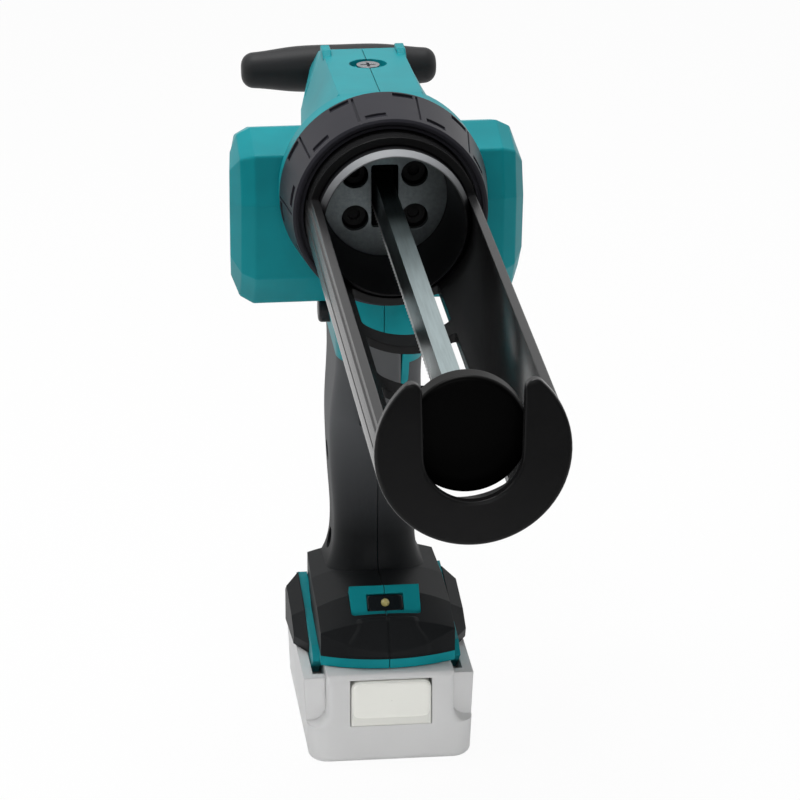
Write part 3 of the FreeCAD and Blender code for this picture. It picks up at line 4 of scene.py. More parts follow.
import bpy
import numpy as np
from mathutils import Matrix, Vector


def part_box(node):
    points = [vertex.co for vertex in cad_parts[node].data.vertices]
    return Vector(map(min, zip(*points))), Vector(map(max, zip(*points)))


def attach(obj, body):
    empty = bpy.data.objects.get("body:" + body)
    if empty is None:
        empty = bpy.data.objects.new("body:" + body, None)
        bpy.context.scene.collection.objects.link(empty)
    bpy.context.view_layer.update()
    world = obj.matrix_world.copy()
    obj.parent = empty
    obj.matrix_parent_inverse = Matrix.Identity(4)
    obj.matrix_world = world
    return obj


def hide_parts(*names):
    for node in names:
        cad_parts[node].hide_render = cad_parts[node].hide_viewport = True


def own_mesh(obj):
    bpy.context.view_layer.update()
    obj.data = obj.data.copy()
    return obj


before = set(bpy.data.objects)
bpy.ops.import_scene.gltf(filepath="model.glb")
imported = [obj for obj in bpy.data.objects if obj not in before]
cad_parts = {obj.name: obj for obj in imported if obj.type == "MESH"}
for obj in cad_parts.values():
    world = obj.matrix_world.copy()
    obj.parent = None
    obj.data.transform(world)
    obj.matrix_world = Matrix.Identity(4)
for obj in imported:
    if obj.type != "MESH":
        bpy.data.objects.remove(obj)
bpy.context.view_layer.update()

bl_info = {
    "name": "Caulking tool looks",
    "version": (1, 0, 0),
    "blender": (4, 5, 0),
    "location": "View3D > Sidebar > Caulking tool",
    "description": "Materials, trim, light and camera for a cordless caulking tool",
    "category": "Object",
}

# Places in metres, as the frame has them
NOSE_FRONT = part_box("gear_case")[0][1]
RIM_DEPTH = (0.0036, 0.0033)
# Heights below which the nose rim and its coat turn dark: painted shade on the part facing down, away from
# the overhead light.
RIM_SHADE_FADE = (0.224, 0.206)
# Band along the rack's teeth that gets a paler, less metallic colour: painted glints on the tooth flanks.
TOOTH_GLINT_DEPTH = 0.0024
TOOTH_GLINT_EDGE = 0.0002
# Heights over which the grip cover turns lighter up the handle: painted sheen from the side light.
HANDLE_SHEEN_FADE = (0.066, 0.111)

# Sizes and places of the new pieces, in millimetres
SPRING_TURNS = 5.0
SEAM_LOW_Z = 40.0
SEAM_DIAL_GAP = 1.0
SEAM_NEAR = 0.3
SEAM_HALF = 0.098
SEAM_DEPTH = 0.5
SEAM_FOLD = 4.0
PANEL_HALF = 15.5
PANEL_NARROWING = 4.3
PANEL_LOW_Z = 36.7
PANEL_LAP = (2.6, 0.86)
RIDGE_SHARE = 0.8
RIDGE_Z = 48.45
RIDGE_FALL = 190.0
BOW_Y = -38.0
BOW_FALL = 105.0
SLOPE_AT = (-35.1, 44.0)
SLOPE_LEAN = 0.58
SLOPE_FALL = 282.0
PANEL_TILT = (0.52, 0.73)
TILT_FROM, TILT_FULL = 38.5, 40.5
PANEL_SUNK = 0.12
GROOVE_HALF = 0.28
LAMP_SLOPE = math.radians(44.0)
WINDOW_AT = (0.0, -23.05, 51.2)
WINDOW_HALF_HEIGHT = 3.2
WINDOW_RISE = 0.5
DOME_AT = (0.0, -23.3, 51.5)
DOME_RISE = 1.3
PAD_SUNK = 0.1
PAD_UP = 9.7
PAD_HALF_HEIGHT = 6.5
PAD_MARGIN = 0.6

# Camera and stage
CAMERA_AT = Vector((-0.1592, -1.5366, 0.6864))
CAMERA_AZIMUTH = math.radians(-6.20)
CAMERA_ELEVATION = math.radians(20.20)
CAMERA_LENS = 213.2
FLOOR_HALF = 4.0
PAPER = 0.93
DIM_FLOOR = 0.06
GLOW_SHARE = 0.95
PAPER_EDGE = (-0.80, -0.42)
SKY_EDGE = (-0.3, 0.1)

# Power of the other lights, as shares of the overhead light's
LEFT_SHARE = 0.28
RIGHT_SHARE = 0.19
FRONT_SHARE = 0.45
KICKER_SHARE = 0.014
KICKER_SPREAD = math.radians(34.0)


# Material building blocks
def nodes_of(name):
    """New node material with a shader, returned with its tree and Principled node."""
    mat = bpy.data.materials.new(name)
    mat.use_nodes = True
    tree = mat.node_tree
    return mat, tree, tree.nodes["Principled BSDF"]


def noise(tree, scale, detail=4.0, rough=0.55, stretch=(1.0, 1.0, 1.0)):
    """Noise on Object coordinates, stretched along an axis where a grain runs."""
    coord = tree.nodes.new("ShaderNodeTexCoord")
    mapping = tree.nodes.new("ShaderNodeMapping")
    mapping.inputs["Scale"].default_value = stretch
    tex = tree.nodes.new("ShaderNodeTexNoise")
    tex.inputs["Scale"].default_value = scale
    tex.inputs["Detail"].default_value = detail
    tex.inputs["Roughness"].default_value = rough
    tree.links.new(coord.outputs["Object"], mapping.inputs["Vector"])
    tree.links.new(mapping.outputs["Vector"], tex.inputs["Vector"])
    return tex


def tint(tree, shader, tex, dark, light, low=0.35, high=0.65):
    """Colour between two close shades, led by a texture."""
    ramp = tree.nodes.new("ShaderNodeValToRGB")
    ramp.color_ramp.elements[0].position = low
    ramp.color_ramp.elements[0].color = (*dark, 1.0)
    ramp.color_ramp.elements[1].position = high
    ramp.color_ramp.elements[1].color = (*light, 1.0)
    tree.links.new(tex.outputs["Fac"], ramp.inputs["Fac"])
    tree.links.new(ramp.outputs["Color"], shader.inputs["Base Color"])


def vary_roughness(tree, shader, tex, low, high):
    """Roughness between two values, led by a texture."""
    span = tree.nodes.new("ShaderNodeMapRange")
    span.inputs["To Min"].default_value = low
    span.inputs["To Max"].default_value = high
    tree.links.new(tex.outputs["Fac"], span.inputs["Value"])
    tree.links.new(span.outputs["Result"], shader.inputs["Roughness"])


def add_bump(tree, shader, tex, strength, depth, edge):
    """Surface bump from a texture over edges eased by a small radius; sizes in metres."""
    bump = tree.nodes.new("ShaderNodeBump")
    ease = tree.nodes.new("ShaderNodeBevel")
    ease.samples = 6
    ease.inputs["Radius"].default_value = edge
    tree.links.new(ease.outputs["Normal"], bump.inputs["Normal"])
    bump.inputs["Strength"].default_value = strength
    bump.inputs["Distance"].default_value = depth
    tree.links.new(tex.outputs["Fac"], bump.inputs["Height"])
    tree.links.new(bump.outputs["Normal"], shader.inputs["Normal"])


def moulded(name, colour, rough=(0.38, 0.48), grain=2600.0, depth=0.00006, spread=0.12,
            strength=0.25, specular=0.3, edge=0.0005):
    """Moulded plastic: a fine spark-eroded grain, a slight colour drift and uneven gloss."""
    mat, tree, shader = nodes_of(name)
    broad = noise(tree, 24.0, 3.0)
    fine = noise(tree, grain, 2.0)
    dark = tuple(c * (1.0 - spread) for c in colour)
    light = tuple(min(1.0, c * (1.0 + spread)) for c in colour)
    tint(tree, shader, broad, dark, light)
    vary_roughness(tree, shader, broad, *rough)
    add_bump(tree, shader, fine, strength, depth, edge)
    shader.inputs["Specular IOR Level"].default_value = specular
    return mat


def metal(name, colour, rough=(0.22, 0.36), grain=900.0, stretch=(1.0, 1.0, 1.0), depth=0.00003,
          metallic=1.0, edge=0.0003):
    """Worked metal: fine streaks along its grain, with uneven polish."""
    mat, tree, shader = nodes_of(name)
    streak = noise(tree, grain, 3.0, 0.6, stretch)
    broad = noise(tree, 40.0, 3.0)
    dark = tuple(c * 0.82 for c in colour)
    tint(tree, shader, streak, dark, colour)
    vary_roughness(tree, shader, broad, *rough)
    add_bump(tree, shader, streak, 0.3, depth, edge)
    shader.inputs["Metallic"].default_value = metallic
    return mat


def dress(names, mat):
    """Gives CAD nodes one material."""
    for name in names:
        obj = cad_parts[name]
        obj.data.materials.clear()
        obj.data.materials.append(mat)


def zoned(mat, axis, start, end, colour, metallic=None):
    """Second colour on part of a piece: it takes over along an Object axis, from start to end in
    metres. Where a second metallic level is given, it takes over in the same way."""
    tree = mat.node_tree
    shader = tree.nodes["Principled BSDF"]
    coord = tree.nodes.new("ShaderNodeTexCoord")
    split = tree.nodes.new("ShaderNodeSeparateXYZ")
    share = tree.nodes.new("ShaderNodeMapRange")
    share.inputs["From Min"].default_value = start
    share.inputs["From Max"].default_value = end
    tree.links.new(coord.outputs["Object"], split.inputs["Vector"])
    tree.links.new(split.outputs[axis], share.inputs["Value"])
    shade = tree.nodes.new("ShaderNodeMix")
    shade.data_type = "RGBA"
    tree.links.new(share.outputs["Result"], shade.inputs["Factor"])
    tree.links.new(shader.inputs["Base Color"].links[0].from_socket, shade.inputs["A"])
    shade.inputs["B"].default_value = (*colour, 1.0)
    tree.links.new(shade.outputs["Result"], shader.inputs["Base Color"])
    if metallic is not None:
        sheen = tree.nodes.new("ShaderNodeMapRange")
        sheen.inputs["To Min"].default_value = shader.inputs["Metallic"].default_value
        sheen.inputs["To Max"].default_value = metallic
        tree.links.new(share.outputs["Result"], sheen.inputs["Value"])
        tree.links.new(sheen.outputs["Result"], shader.inputs["Metallic"])
    return mat


# New pieces
def smooth(edge, end, value):
    """Smooth step from 0 at edge to 1 at end."""
    t = np.clip((value - edge) / (end - edge), 0.0, 1.0)
    return t * t * (3.0 - 2.0 * t)


def grid_piece(name, points, body, mat, around=False):
    """Mesh of a grid of points in millimetres, rows by columns, joined where its columns close."""
    rows, columns = points.shape[:2]
    mesh = bpy.data.meshes.new(name)
    index = np.arange(rows * columns).reshape(rows, columns)
    if around:
        index = np.hstack([index, index[:, :1]])
    corners = [index[:-1, :-1], index[:-1, 1:], index[1:, 1:], index[1:, :-1]]
    faces = np.stack(corners, axis=-1).reshape(-1, 4)
    mesh.from_pydata((points.reshape(-1, 3) / 1000.0).tolist(), [], faces.tolist())
    mesh.shade_smooth()
    mesh.materials.append(mat)
    obj = bpy.data.objects.new(name, mesh)
    bpy.context.scene.collection.objects.link(obj)
    finish = obj.modifiers.new("finish", "SUBSURF")
    finish.levels = 1
    finish.render_levels = 1
    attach(obj, body)
    return obj


def pad(centre, up, half, height, square, roll):
    """Raised pad: a superellipse outline of half sizes and squareness, shrunk to its centre by a
    share, and lifted off its plane by the height times the root of one minus that share to the
    power of the roll."""
    angle = np.linspace(0.0, 2.0 * np.pi, 96, endpoint=False)[None, :]
    share = np.sin(np.linspace(0.02, 0.5 * np.pi, 26))[:, None]
    turn = (np.cos(angle), np.sin(angle))
    across, along = [size * np.sign(t) * np.abs(t) ** (2.0 / square)
                     for size, t in zip(half, turn)]
    lift = height * np.sqrt(1.0 - share ** roll) + 0.0 * angle
    up = np.array(up) / np.linalg.norm(up)
    side = np.array((1.0, 0.0, 0.0))
    out = np.cross(side, up)
    flat = (share * across)[..., None] * side + (share * along)[..., None] * up
    return np.array(centre) + flat + lift[..., None] * out


# Settings
def colour_setting(name, description, default):
    """Colour setting of the panel."""
    return bpy.props.FloatVectorProperty(name=name, description=description, subtype="COLOR", size=3,
                                         min=0.0, max=1.0, default=default)


def length_setting(name, description, millimetres):
    """Length setting of the panel, kept in metres."""
    return bpy.props.FloatProperty(name=name, description=description, subtype="DISTANCE",
                                   unit="LENGTH", min=0.0, precision=5, default=millimetres / 1000.0)


class CaulkSizes(bpy.types.PropertyGroup):
    """Sizes of the small pieces that a user would change."""
    spring_wire: length_setting("Spring wire", "Radius of the trigger spring's wire", 0.4)
    panel_proud: length_setting("Foot panel", "How far the panel stands off the foot", 0.95)
    panel_groove: length_setting("Panel groove", "Depth of the fine groove down the panel", 0.45)
    dome_radius: length_setting("Lamp dome", "Radius of the small lamp in its window", 1.5)
    button_pad: length_setting("Button pad", "How far the pad stands off the battery's button", 0.7)


class CaulkLooks(bpy.types.PropertyGroup):
    """Colours and light that set the look."""
    teal: colour_setting("Housing", "Colour of the moulded housing halves", (0.006, 0.268, 0.305))
    rubber: colour_setting("Grip", "Colour of the soft grip covers and bumpers", (0.0095, 0.0105, 0.0115))
    # The handle colour, lighter than the grip's own black, is painted sheen.
    handle: colour_setting("Handle", "Colour of the grip cover higher up the handle", (0.080, 0.083, 0.088))
    holder: colour_setting("Holder", "Colour of the cartridge holder", (0.0140, 0.0140, 0.0145))
    collar: colour_setting("Collar", "Colour of the locking collar", (0.0290, 0.0285, 0.0350))
    steel: colour_setting("Rack", "Colour of the ground steel rack", (0.31, 0.385, 0.395))
    battery: colour_setting("Battery", "Colour of the battery case", (0.72, 0.72, 0.72))
    button: colour_setting("Battery button", "Colour of the battery's release button", (0.97, 0.97, 0.91))
    key_power: bpy.props.FloatProperty(
        name="Key light", description="Power of the overhead light; the others follow it",
        default=9.5, min=0.0, unit="POWER")
    fill: bpy.props.FloatProperty(
        name="Fill light", description="Strength of the world's light on the object",
        default=0.16, min=0.0)


def looks():
    """Colour and light settings of the scene."""
    return bpy.context.scene.caulk_looks


def size_of(name):
    """Size setting of the scene, in millimetres."""
    return 1000.0 * getattr(bpy.context.scene.caulk_sizes, name)


def box_of(node):
    """Low and high corner of a CAD node's box, in millimetres."""
    return [1000.0 * np.array(corner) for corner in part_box(node)]


# Pieces
class CAULK_OT_housing(bpy.types.Operator):
    """Housing halves, their screws and the bush at the tail"""
    bl_idname = "caulk.housing"
    bl_label = "Housing"

    def execute(self, context):
        shell = moulded("teal_moulding", tuple(looks().teal), rough=(0.36, 0.46), depth=0.00005,
                        specular=0.09)
        dress(["housing_left", "housing_right"], shell)
        dress(["housing_screws", "top_screw"],
              metal("plated_screw", (0.22, 0.23, 0.25), (0.16, 0.28)))
        dress(["rear_bush"], metal("bronze_bush", (0.5, 0.36, 0.18), (0.35, 0.5)))
        return {"FINISHED"}


class CAULK_OT_grip(bpy.types.Operator):
    """Soft covers on the grip and foot, bumpers, trigger, lock-off button and dial"""
    bl_idname = "caulk.grip"
    bl_label = "Grip"

    def execute(self, context):
        soft = self.rubber("soft_rubber")
        dress(["bumper_left", "bumper_right"], soft)
        cover = self.rubber("grip_rubber")
        # Grip cover turns lighter higher up the handle: painted sheen from the side light.
        dress(["grip_left", "grip_right"], zoned(cover, "Z", *HANDLE_SHEEN_FADE, looks().handle))
        grid_piece("foot_panel", self.foot_panel(), "body", soft)
        grid_piece("seam_strip", self.seam(), "body", soft)
        low, high = box_of("trigger_spring")
        steel = metal("spring_wire", (0.5, 0.5, 0.5), (0.25, 0.4))
        coil = grid_piece("spring_coil", self.spring(low, high), "body", steel, True)
        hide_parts("trigger_spring")
        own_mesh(coil)
        satin = moulded("satin_black", (0.02, 0.02, 0.023), rough=(0.36, 0.46), specular=0.16)
        dress(["lock_button", "speed_dial"], satin)
        dress(["trigger"], moulded("trigger_moulding", (0.07, 0.073, 0.077), rough=(0.36, 0.46)))
        return {"FINISHED"}

    def rubber(self, name):
        """Soft black plastic, with a coarser grain than the hard mouldings."""
        return moulded(name, tuple(looks().rubber), rough=(0.44, 0.56), grain=1900.0, depth=0.00012,
                       strength=0.35, specular=0.08)

    def spring(self, low, high):
        """Return spring: a circle of the wire's radius carried along a helix between the corners of
        its box, each ring lying in the plane of the helix's radius and its axis."""
        wire = size_of("spring_wire")
        along = np.linspace(0.0, 1.0, 260)[:, None]
        ring = np.linspace(0.0, 2.0 * np.pi, 12, endpoint=False)[None, :]
        middle = 0.5 * (low + high)
        reach = 0.5 * (high[0] - low[0]) - wire + wire * np.cos(ring)
        turn = 2.0 * np.pi * SPRING_TURNS * along
        y = low[1] + wire + (high[1] - low[1] - 2.0 * wire) * along + wire * np.sin(ring)
        x = middle[0] + reach * np.cos(turn)
        z = middle[2] + reach * np.sin(turn)
        return np.stack([x, y, z], axis=-1)

    def seam(self):
        """Narrow ribbon that closes the seam between the grip covers at their back: at each height it
        lies just under the outermost point of the cover's seam face, the largest depth among the
        points near that height, and folds inwards to both sides."""
        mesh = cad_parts["grip_left"].data
        flat = np.empty(3 * len(mesh.vertices))
        mesh.vertices.foreach_get("co", flat)
        points = flat.reshape(-1, 3) * 1000.0
        points = points[np.abs(points[:, 0]) < SEAM_NEAR]
        levels = np.linspace(SEAM_LOW_Z, box_of("speed_dial")[0][2] - SEAM_DIAL_GAP, 40)
        step = np.rint((points[:, 2] - levels[0]) / (levels[1] - levels[0])).astype(int)
        reach = np.full(levels.size + 2, -np.inf)
        np.maximum.at(reach, np.clip(step, -1, levels.size) + 1, points[:, 1])
        reach = reach[1:-1]
        found = np.isfinite(reach)
        reach = np.interp(levels, levels[found], reach[found])
        x = np.linspace(-SEAM_HALF, SEAM_HALF, 3)[None, :] + 0.0 * levels[:, None]
        y = reach[:, None] - SEAM_DEPTH - SEAM_FOLD * np.abs(x)
        return np.stack([x, y, levels[:, None] + 0.0 * x], axis=-1)

    def foot_panel(self):
        """Raised panel under the lamp: up the foot's bowed front, over its ridge and onto the crown,
        its half width shrinking to the lamp's, standing proud between two rolled shoulders and
        parted by a fine groove. The bow, the slope and the ridge fall off with the square of x."""
        share = np.linspace(0.0, 1.0, 60)[:, None]
        across = np.linspace(-1.0, 1.0, 121)[None, :]
        x = across * (PANEL_HALF - PANEL_NARROWING * smooth(0.30, 0.78, share))
        rise = np.minimum(share / RIDGE_SHARE, 1.0)
        over = np.maximum(share - RIDGE_SHARE, 0.0) / (1.0 - RIDGE_SHARE)
        z = PANEL_LOW_Z + (RIDGE_Z - x ** 2 / RIDGE_FALL - PANEL_LOW_Z) * rise
        bow = BOW_Y + x ** 2 / BOW_FALL
        steep = SLOPE_AT[0] + SLOPE_LEAN * (z - SLOPE_AT[1]) + x ** 2 / SLOPE_FALL
        y = np.maximum(bow, steep) + PANEL_LAP[0] * over
        z = z + PANEL_LAP[1] * over
        tilt = smooth(TILT_FROM, TILT_FULL, z) * PANEL_TILT[0] + PANEL_TILT[1] * over
        shoulder = 1.0 - smooth(0.80, 1.0, np.abs(across))
        ends = smooth(0.0, 0.05, share) * (1.0 - smooth(0.9, 1.0, share))
        groove = size_of("panel_groove") * np.exp(-((x / GROOVE_HALF) ** 2))
        proud = size_of("panel_proud") * shoulder * ends - PANEL_SUNK - groove
        return np.stack([x, y - proud * np.cos(tilt), z + proud * np.sin(tilt)], axis=-1)


class CAULK_OT_holder(bpy.types.Operator):
    """Holder and collar"""
    bl_idname = "caulk.holder"
    bl_label = "Holder"

    def execute(self, context):
        dress(["holder"], moulded("holder_moulding", tuple(looks().holder), rough=(0.20, 0.28),
                                  depth=0.00004, specular=0.14))
        dress(["collar"], moulded("collar_moulding", tuple(looks().collar), rough=(0.26, 0.36),
                                  depth=0.00005, specular=0.05))
        return {"FINISHED"}


class CAULK_OT_rack(bpy.types.Operator):
    """Rack, piston and T-handle"""
    bl_idname = "caulk.rack"
    bl_label = "Rack"

    def execute(self, context):
        bar = metal("rack_steel", tuple(looks().steel), (0.24, 0.34), 1400.0, (1.0, 0.04, 1.0))
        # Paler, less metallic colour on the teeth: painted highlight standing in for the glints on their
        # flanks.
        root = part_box("rack")[0][2] + TOOTH_GLINT_DEPTH
        dress(["rack"], zoned(bar, "Z", root, root - TOOTH_GLINT_EDGE, (0.80, 0.82, 0.82), 0.15))
        dress(["piston"], moulded("piston_moulding", (0.002, 0.002, 0.002), rough=(0.32, 0.42),
                                  specular=0.05))
        dress(["t_handle"], moulded("handle_rubber", (0.022, 0.0225, 0.024), rough=(0.44, 0.55),
                                    grain=1900.0, depth=0.0001, specular=0.16))
        dress(["piston_pin", "handle_screw"], metal("socket_screw", (0.3, 0.3, 0.31), (0.25, 0.4)))
        return {"FINISHED"}


class CAULK_OT_drive(bpy.types.Operator):
    """Gear case, guide plate and everything inside the housing"""
    bl_idname = "caulk.drive"
    bl_label = "Drive"

    def execute(self, context):
        coat = moulded("coated_casting", (0.008, 0.008, 0.009), rough=(0.42, 0.56), grain=700.0,
                       depth=0.00008, specular=0.1)
        start, end = [NOSE_FRONT + depth for depth in RIM_DEPTH]
        # Pale band at the front rim of the nose; below the given heights the band and the coat are painted
        # dark, as shade away from the overhead light.
        rim = zoned(coat, "Y", start, end, (0.37, 0.38, 0.395))
        dress(["gear_case"], zoned(rim, "Z", *RIM_SHADE_FADE, (0.012, 0.012, 0.013)))
        dress(["guide_plate"], metal("dark_plate", (0.30, 0.34, 0.355), (0.30, 0.42), 900.0))
        # Screws and pin deep in their holes get a near-black, non-metal colour: painted shade in the holes.
        dress(["case_screws", "roller_pin"],
              metal("painted_shade_screw", (0.004, 0.004, 0.0045), (0.5, 0.6), metallic=0.0))
        gears = ["rack_pinion", "roller", "sun_gear", "ring_gear", "carrier_1", "carrier_2",
                 "motor_shaft", "bearing_left", "bearing_right"]
        gears += ["planet_%d_%d" % (stage, index) for stage in (1, 2) for index in (1, 2, 3)]
        dress(gears, metal("gear_steel", (0.45, 0.45, 0.46), (0.25, 0.4)))
        dress(["motor_can", "armature"], metal("motor_steel", (0.4, 0.4, 0.41), (0.3, 0.45)))
        dress(["magnets"], moulded("ferrite", (0.05, 0.05, 0.055), rough=(0.6, 0.75)))
        dress(["commutator", "terminal_blades"], metal("copper_alloy", (0.72, 0.45, 0.25), (0.25, 0.4)))
        dress(["motor_cap", "gear_cover", "switch", "dial_base", "terminal_block"],
              moulded("inner_moulding", (0.02, 0.02, 0.022), rough=(0.45, 0.55), specular=0.15))
        dress(["control_board", "lamp_board"],
              moulded("coated_board", (0.01, 0.10, 0.04), rough=(0.3, 0.4)))
        return {"FINISHED"}


class CAULK_OT_lamp(bpy.types.Operator):
    """Dark lamp window and the small lamp set in it"""
    bl_idname = "caulk.lamp"
    bl_label = "Lamp"

    def execute(self, context):
        half = box_of("lamp_lens")[1][0]
        radius = size_of("dome_radius")
        slope = (0.0, math.cos(LAMP_SLOPE), math.sin(LAMP_SLOPE))
        dark = moulded("lamp_window", (0.006, 0.009, 0.011), rough=(0.10, 0.18), specular=0.3)
        glow = moulded("lamp_dome", (0.55, 0.47, 0.16), rough=(0.08, 0.14), grain=900.0, specular=0.6)
        face = pad(WINDOW_AT, slope, (half, WINDOW_HALF_HEIGHT), WINDOW_RISE, 7.0, 14.0)
        window = grid_piece("lamp_window", face, "body", dark, True)
        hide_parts("lamp_lens")
        bulge = pad(DOME_AT, slope, (radius, radius), DOME_RISE, 2.0, 2.0)
        dome = grid_piece("lamp_dome", bulge, "body", glow, True)
        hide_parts("lamp_lens")
        return {"FINISHED"}


class CAULK_OT_battery(bpy.types.Operator):
    """Battery case and its release button"""
    bl_idname = "caulk.battery"
    bl_label = "Battery"

    def execute(self, context):
        case = moulded("battery_moulding", tuple(looks().battery), rough=(0.42, 0.52), spread=0.03,
                       specular=0.2)
        dress(["battery_case", "battery_lid"], case)
        pale = moulded("button_moulding", tuple(looks().button), rough=(0.42, 0.52), spread=0.02,
                       specular=0.2)
        lip = moulded("button_lip", tuple(0.86 * c for c in looks().button), rough=(0.42, 0.52),
                      spread=0.02)
        dress(["battery_button"], lip)
        low, high = box_of("battery_button")
        middle = (0.0, low[1] + PAD_SUNK, low[2] + PAD_UP)
        half = (high[0] - PAD_MARGIN, PAD_HALF_HEIGHT)
        face = pad(middle, (0.0, 0.0, 1.0), half, size_of("button_pad"), 9.0, 16.0)
        grid_piece("button_pad", face, "battery_button", pale, True)
        dress(["cells"], moulded("cell_sleeve", (0.05, 0.15, 0.30), rough=(0.3, 0.4)))
        return {"FINISHED"}


# Stage
def area_light(name, at, aim, size, power):
    """Soft rectangular light at a point, turned to face another."""
    data = bpy.data.lights.new(name, "AREA")
    data.shape = "RECTANGLE"
    data.size, data.size_y = size
    data.energy = power
    obj = bpy.data.objects.new(name, data)
    bpy.context.scene.collection.objects.link(obj)
    obj.location = at
    obj.rotation_euler = (Vector(aim) - Vector(at)).to_track_quat("-Z", "Y").to_euler()
    return obj


class CAULK_OT_stage(bpy.types.Operator):
    """Pale floor, soft light and the camera at the photograph's angle"""
    bl_idname = "caulk.stage"
    bl_label = "Stage"

    def execute(self, context):
        scene = context.scene
        scene.view_settings.view_transform = "Standard"
        self.floor(scene)
        self.world(scene)
        power = looks().key_power
        area_light("overhead", (-0.15, 0.25, 1.15), (0.0, -0.02, 0.15), (0.8, 0.5), power)
        area_light("left", (-1.1, -0.1, 0.85), (0.0, -0.02, 0.12), (0.5, 0.9), power * LEFT_SHARE)
        area_light("right", (1.2, 0.0, 0.75), (0.0, -0.02, 0.12), (0.5, 0.9), power * RIGHT_SHARE)
        area_light("front", (-0.2, -1.7, 1.1), (0.0, -0.1, 0.1), (0.9, 0.5), power * FRONT_SHARE)
        kicker = area_light("kicker", (0.02, -0.95, 0.10), (0.0, -0.04, 0.0), (0.6, 0.08),
                            power * KICKER_SHARE)
        kicker.data.spread = KICKER_SPREAD
        self.camera(scene)
        return {"FINISHED"}

    def floor(self, scene):
        """Square floor, white to the camera, that keeps a share of its own light and shadow."""
        mesh = bpy.data.meshes.new("floor")
        signs = ((-1, -1), (1, -1), (1, 1), (-1, 1))
        corners = [(FLOOR_HALF * x, FLOOR_HALF * y, 0.0) for x, y in signs]
        mesh.from_pydata(corners, [], [(0, 1, 2, 3)])
        obj = bpy.data.objects.new("floor", mesh)
        scene.collection.objects.link(obj)
        mat, tree, shader = nodes_of("pale_floor")
        coord = tree.nodes.new("ShaderNodeTexCoord")
        paper = self.behind(tree, coord.outputs["Object"], *PAPER_EDGE)
        tone = tree.nodes.new("ShaderNodeMapRange")
        tone.inputs["To Min"].default_value = DIM_FLOOR
        tone.inputs["To Max"].default_value = PAPER
        tree.links.new(paper, tone.inputs["Value"])
        tree.links.new(tone.outputs["Result"], shader.inputs["Base Color"])
        shader.inputs["Roughness"].default_value = 0.9
        shader.inputs["Specular IOR Level"].default_value = 0.0
        glow = tree.nodes.new("ShaderNodeEmission")
        mixed = tree.nodes.new("ShaderNodeMixShader")
        share = tree.nodes.new("ShaderNodeMath")
        share.operation = "MULTIPLY"
        share.inputs[1].default_value = GLOW_SHARE
        tree.links.new(self.seen(tree, paper), share.inputs[0])
        tree.links.new(share.outputs[0], mixed.inputs["Fac"])
        tree.links.new(shader.outputs["BSDF"], mixed.inputs[1])
        tree.links.new(glow.outputs["Emission"], mixed.inputs[2])
        tree.links.new(mixed.outputs["Shader"], tree.nodes["Material Output"].inputs["Surface"])
        mesh.materials.append(mat)

    def behind(self, tree, vector, start, end):
        """Socket that rises from 0 to 1 along +Y, from the dim room before the object to the paper
        behind it."""
        split = tree.nodes.new("ShaderNodeSeparateXYZ")
        rise = tree.nodes.new("ShaderNodeMapRange")
        rise.interpolation_type = "SMOOTHSTEP"
        rise.inputs["From Min"].default_value = start
        rise.inputs["From Max"].default_value = end
        tree.links.new(vector, split.inputs["Vector"])
        tree.links.new(split.outputs["Y"], rise.inputs["Value"])
        return rise.outputs["Result"]

    def seen(self, tree, behind):
        """Socket that is 1 for camera rays, and for glossy and clear rays that go to the background."""
        path = tree.nodes.new("ShaderNodeLightPath")
        mirrored = tree.nodes.new("ShaderNodeMath")
        mirrored.operation = "MAXIMUM"
        tree.links.new(path.outputs["Is Glossy Ray"], mirrored.inputs[0])
        tree.links.new(path.outputs["Is Transmission Ray"], mirrored.inputs[1])
        back = tree.nodes.new("ShaderNodeMath")
        back.operation = "MULTIPLY"
        tree.links.new(mirrored.outputs[0], back.inputs[0])
        tree.links.new(behind, back.inputs[1])
        total = tree.nodes.new("ShaderNodeMath")
        total.operation = "MAXIMUM"
        tree.links.new(path.outputs["Is Camera Ray"], total.inputs[0])
        tree.links.new(back.outputs[0], total.inputs[1])
        return total.outputs[0]

    def world(self, scene):
        """Even light on the object, and white where the background is seen."""
        world = bpy.data.worlds.new("studio")
        world.use_nodes = True
        scene.world = world
        tree = world.node_tree
        back = tree.nodes["Background"]
        back.inputs["Color"].default_value = (1.0, 1.0, 1.0, 1.0)
        coord = tree.nodes.new("ShaderNodeTexCoord")
        level = tree.nodes.new("ShaderNodeMapRange")
        level.inputs["To Min"].default_value = looks().fill
        level.inputs["To Max"].default_value = 1.0
        paper = self.behind(tree, coord.outputs["Generated"], *SKY_EDGE)
        tree.links.new(self.seen(tree, paper), level.inputs["Value"])
        tree.links.new(level.outputs["Result"], back.inputs["Strength"])

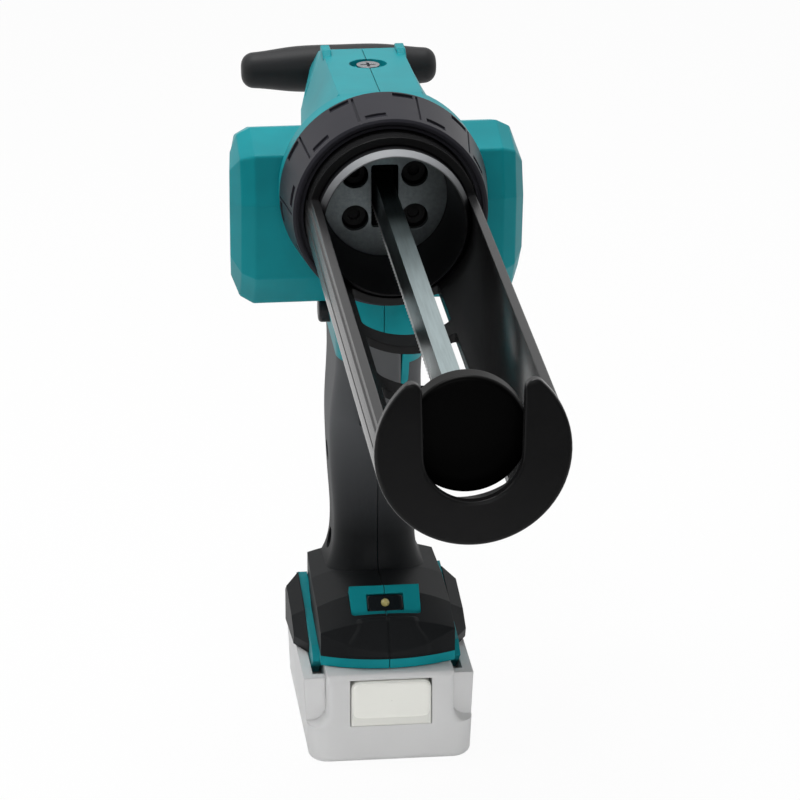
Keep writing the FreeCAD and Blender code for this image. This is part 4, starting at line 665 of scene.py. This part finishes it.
    def camera(self, scene):
        """Long lens at the photograph's angle."""
        data = bpy.data.cameras.new("camera")
        data.sensor_width = 36.0
        data.lens = CAMERA_LENS
        data.clip_end = 20.0
        obj = bpy.data.objects.new("camera", data)
        scene.collection.objects.link(obj)
        obj.location = CAMERA_AT
        obj.rotation_euler = (math.pi / 2 - CAMERA_ELEVATION, 0.0, CAMERA_AZIMUTH)
        scene.camera = obj


class CAULK_PT_panel(bpy.types.Panel):
    """Buttons that build each group, with the settings that they read"""
    bl_idname = "CAULK_PT_panel"
    bl_label = "Caulking tool"
    bl_space_type = "VIEW_3D"
    bl_region_type = "UI"
    bl_category = "Caulking tool"

    def draw(self, context):
        column = self.layout.column()
        for name in CaulkSizes.__annotations__:
            column.prop(context.scene.caulk_sizes, name)
        for name in CaulkLooks.__annotations__:
            column.prop(context.scene.caulk_looks, name)
        for operator in OPERATORS:
            column.operator(operator.bl_idname)


OPERATORS = (CAULK_OT_housing, CAULK_OT_grip, CAULK_OT_holder, CAULK_OT_rack, CAULK_OT_drive,
             CAULK_OT_lamp, CAULK_OT_battery, CAULK_OT_stage)
CLASSES = (CaulkSizes, CaulkLooks) + OPERATORS + (CAULK_PT_panel,)


def register():
    """Registers the classes and hangs the settings on the scene."""
    for cls in CLASSES:
        bpy.utils.register_class(cls)
    bpy.types.Scene.caulk_sizes = bpy.props.PointerProperty(type=CaulkSizes)
    bpy.types.Scene.caulk_looks = bpy.props.PointerProperty(type=CaulkLooks)


def unregister():
    """Takes the settings and classes away again."""
    del bpy.types.Scene.caulk_looks
    del bpy.types.Scene.caulk_sizes
    for cls in reversed(CLASSES):
        bpy.utils.unregister_class(cls)


def main():
    """Builds every group in order."""
    register()
    bpy.ops.caulk.housing()
    bpy.ops.caulk.grip()
    bpy.ops.caulk.holder()
    bpy.ops.caulk.rack()
    bpy.ops.caulk.drive()
    bpy.ops.caulk.lamp()
    bpy.ops.caulk.battery()
    bpy.ops.caulk.stage()


if __name__ == "__main__":
    main()
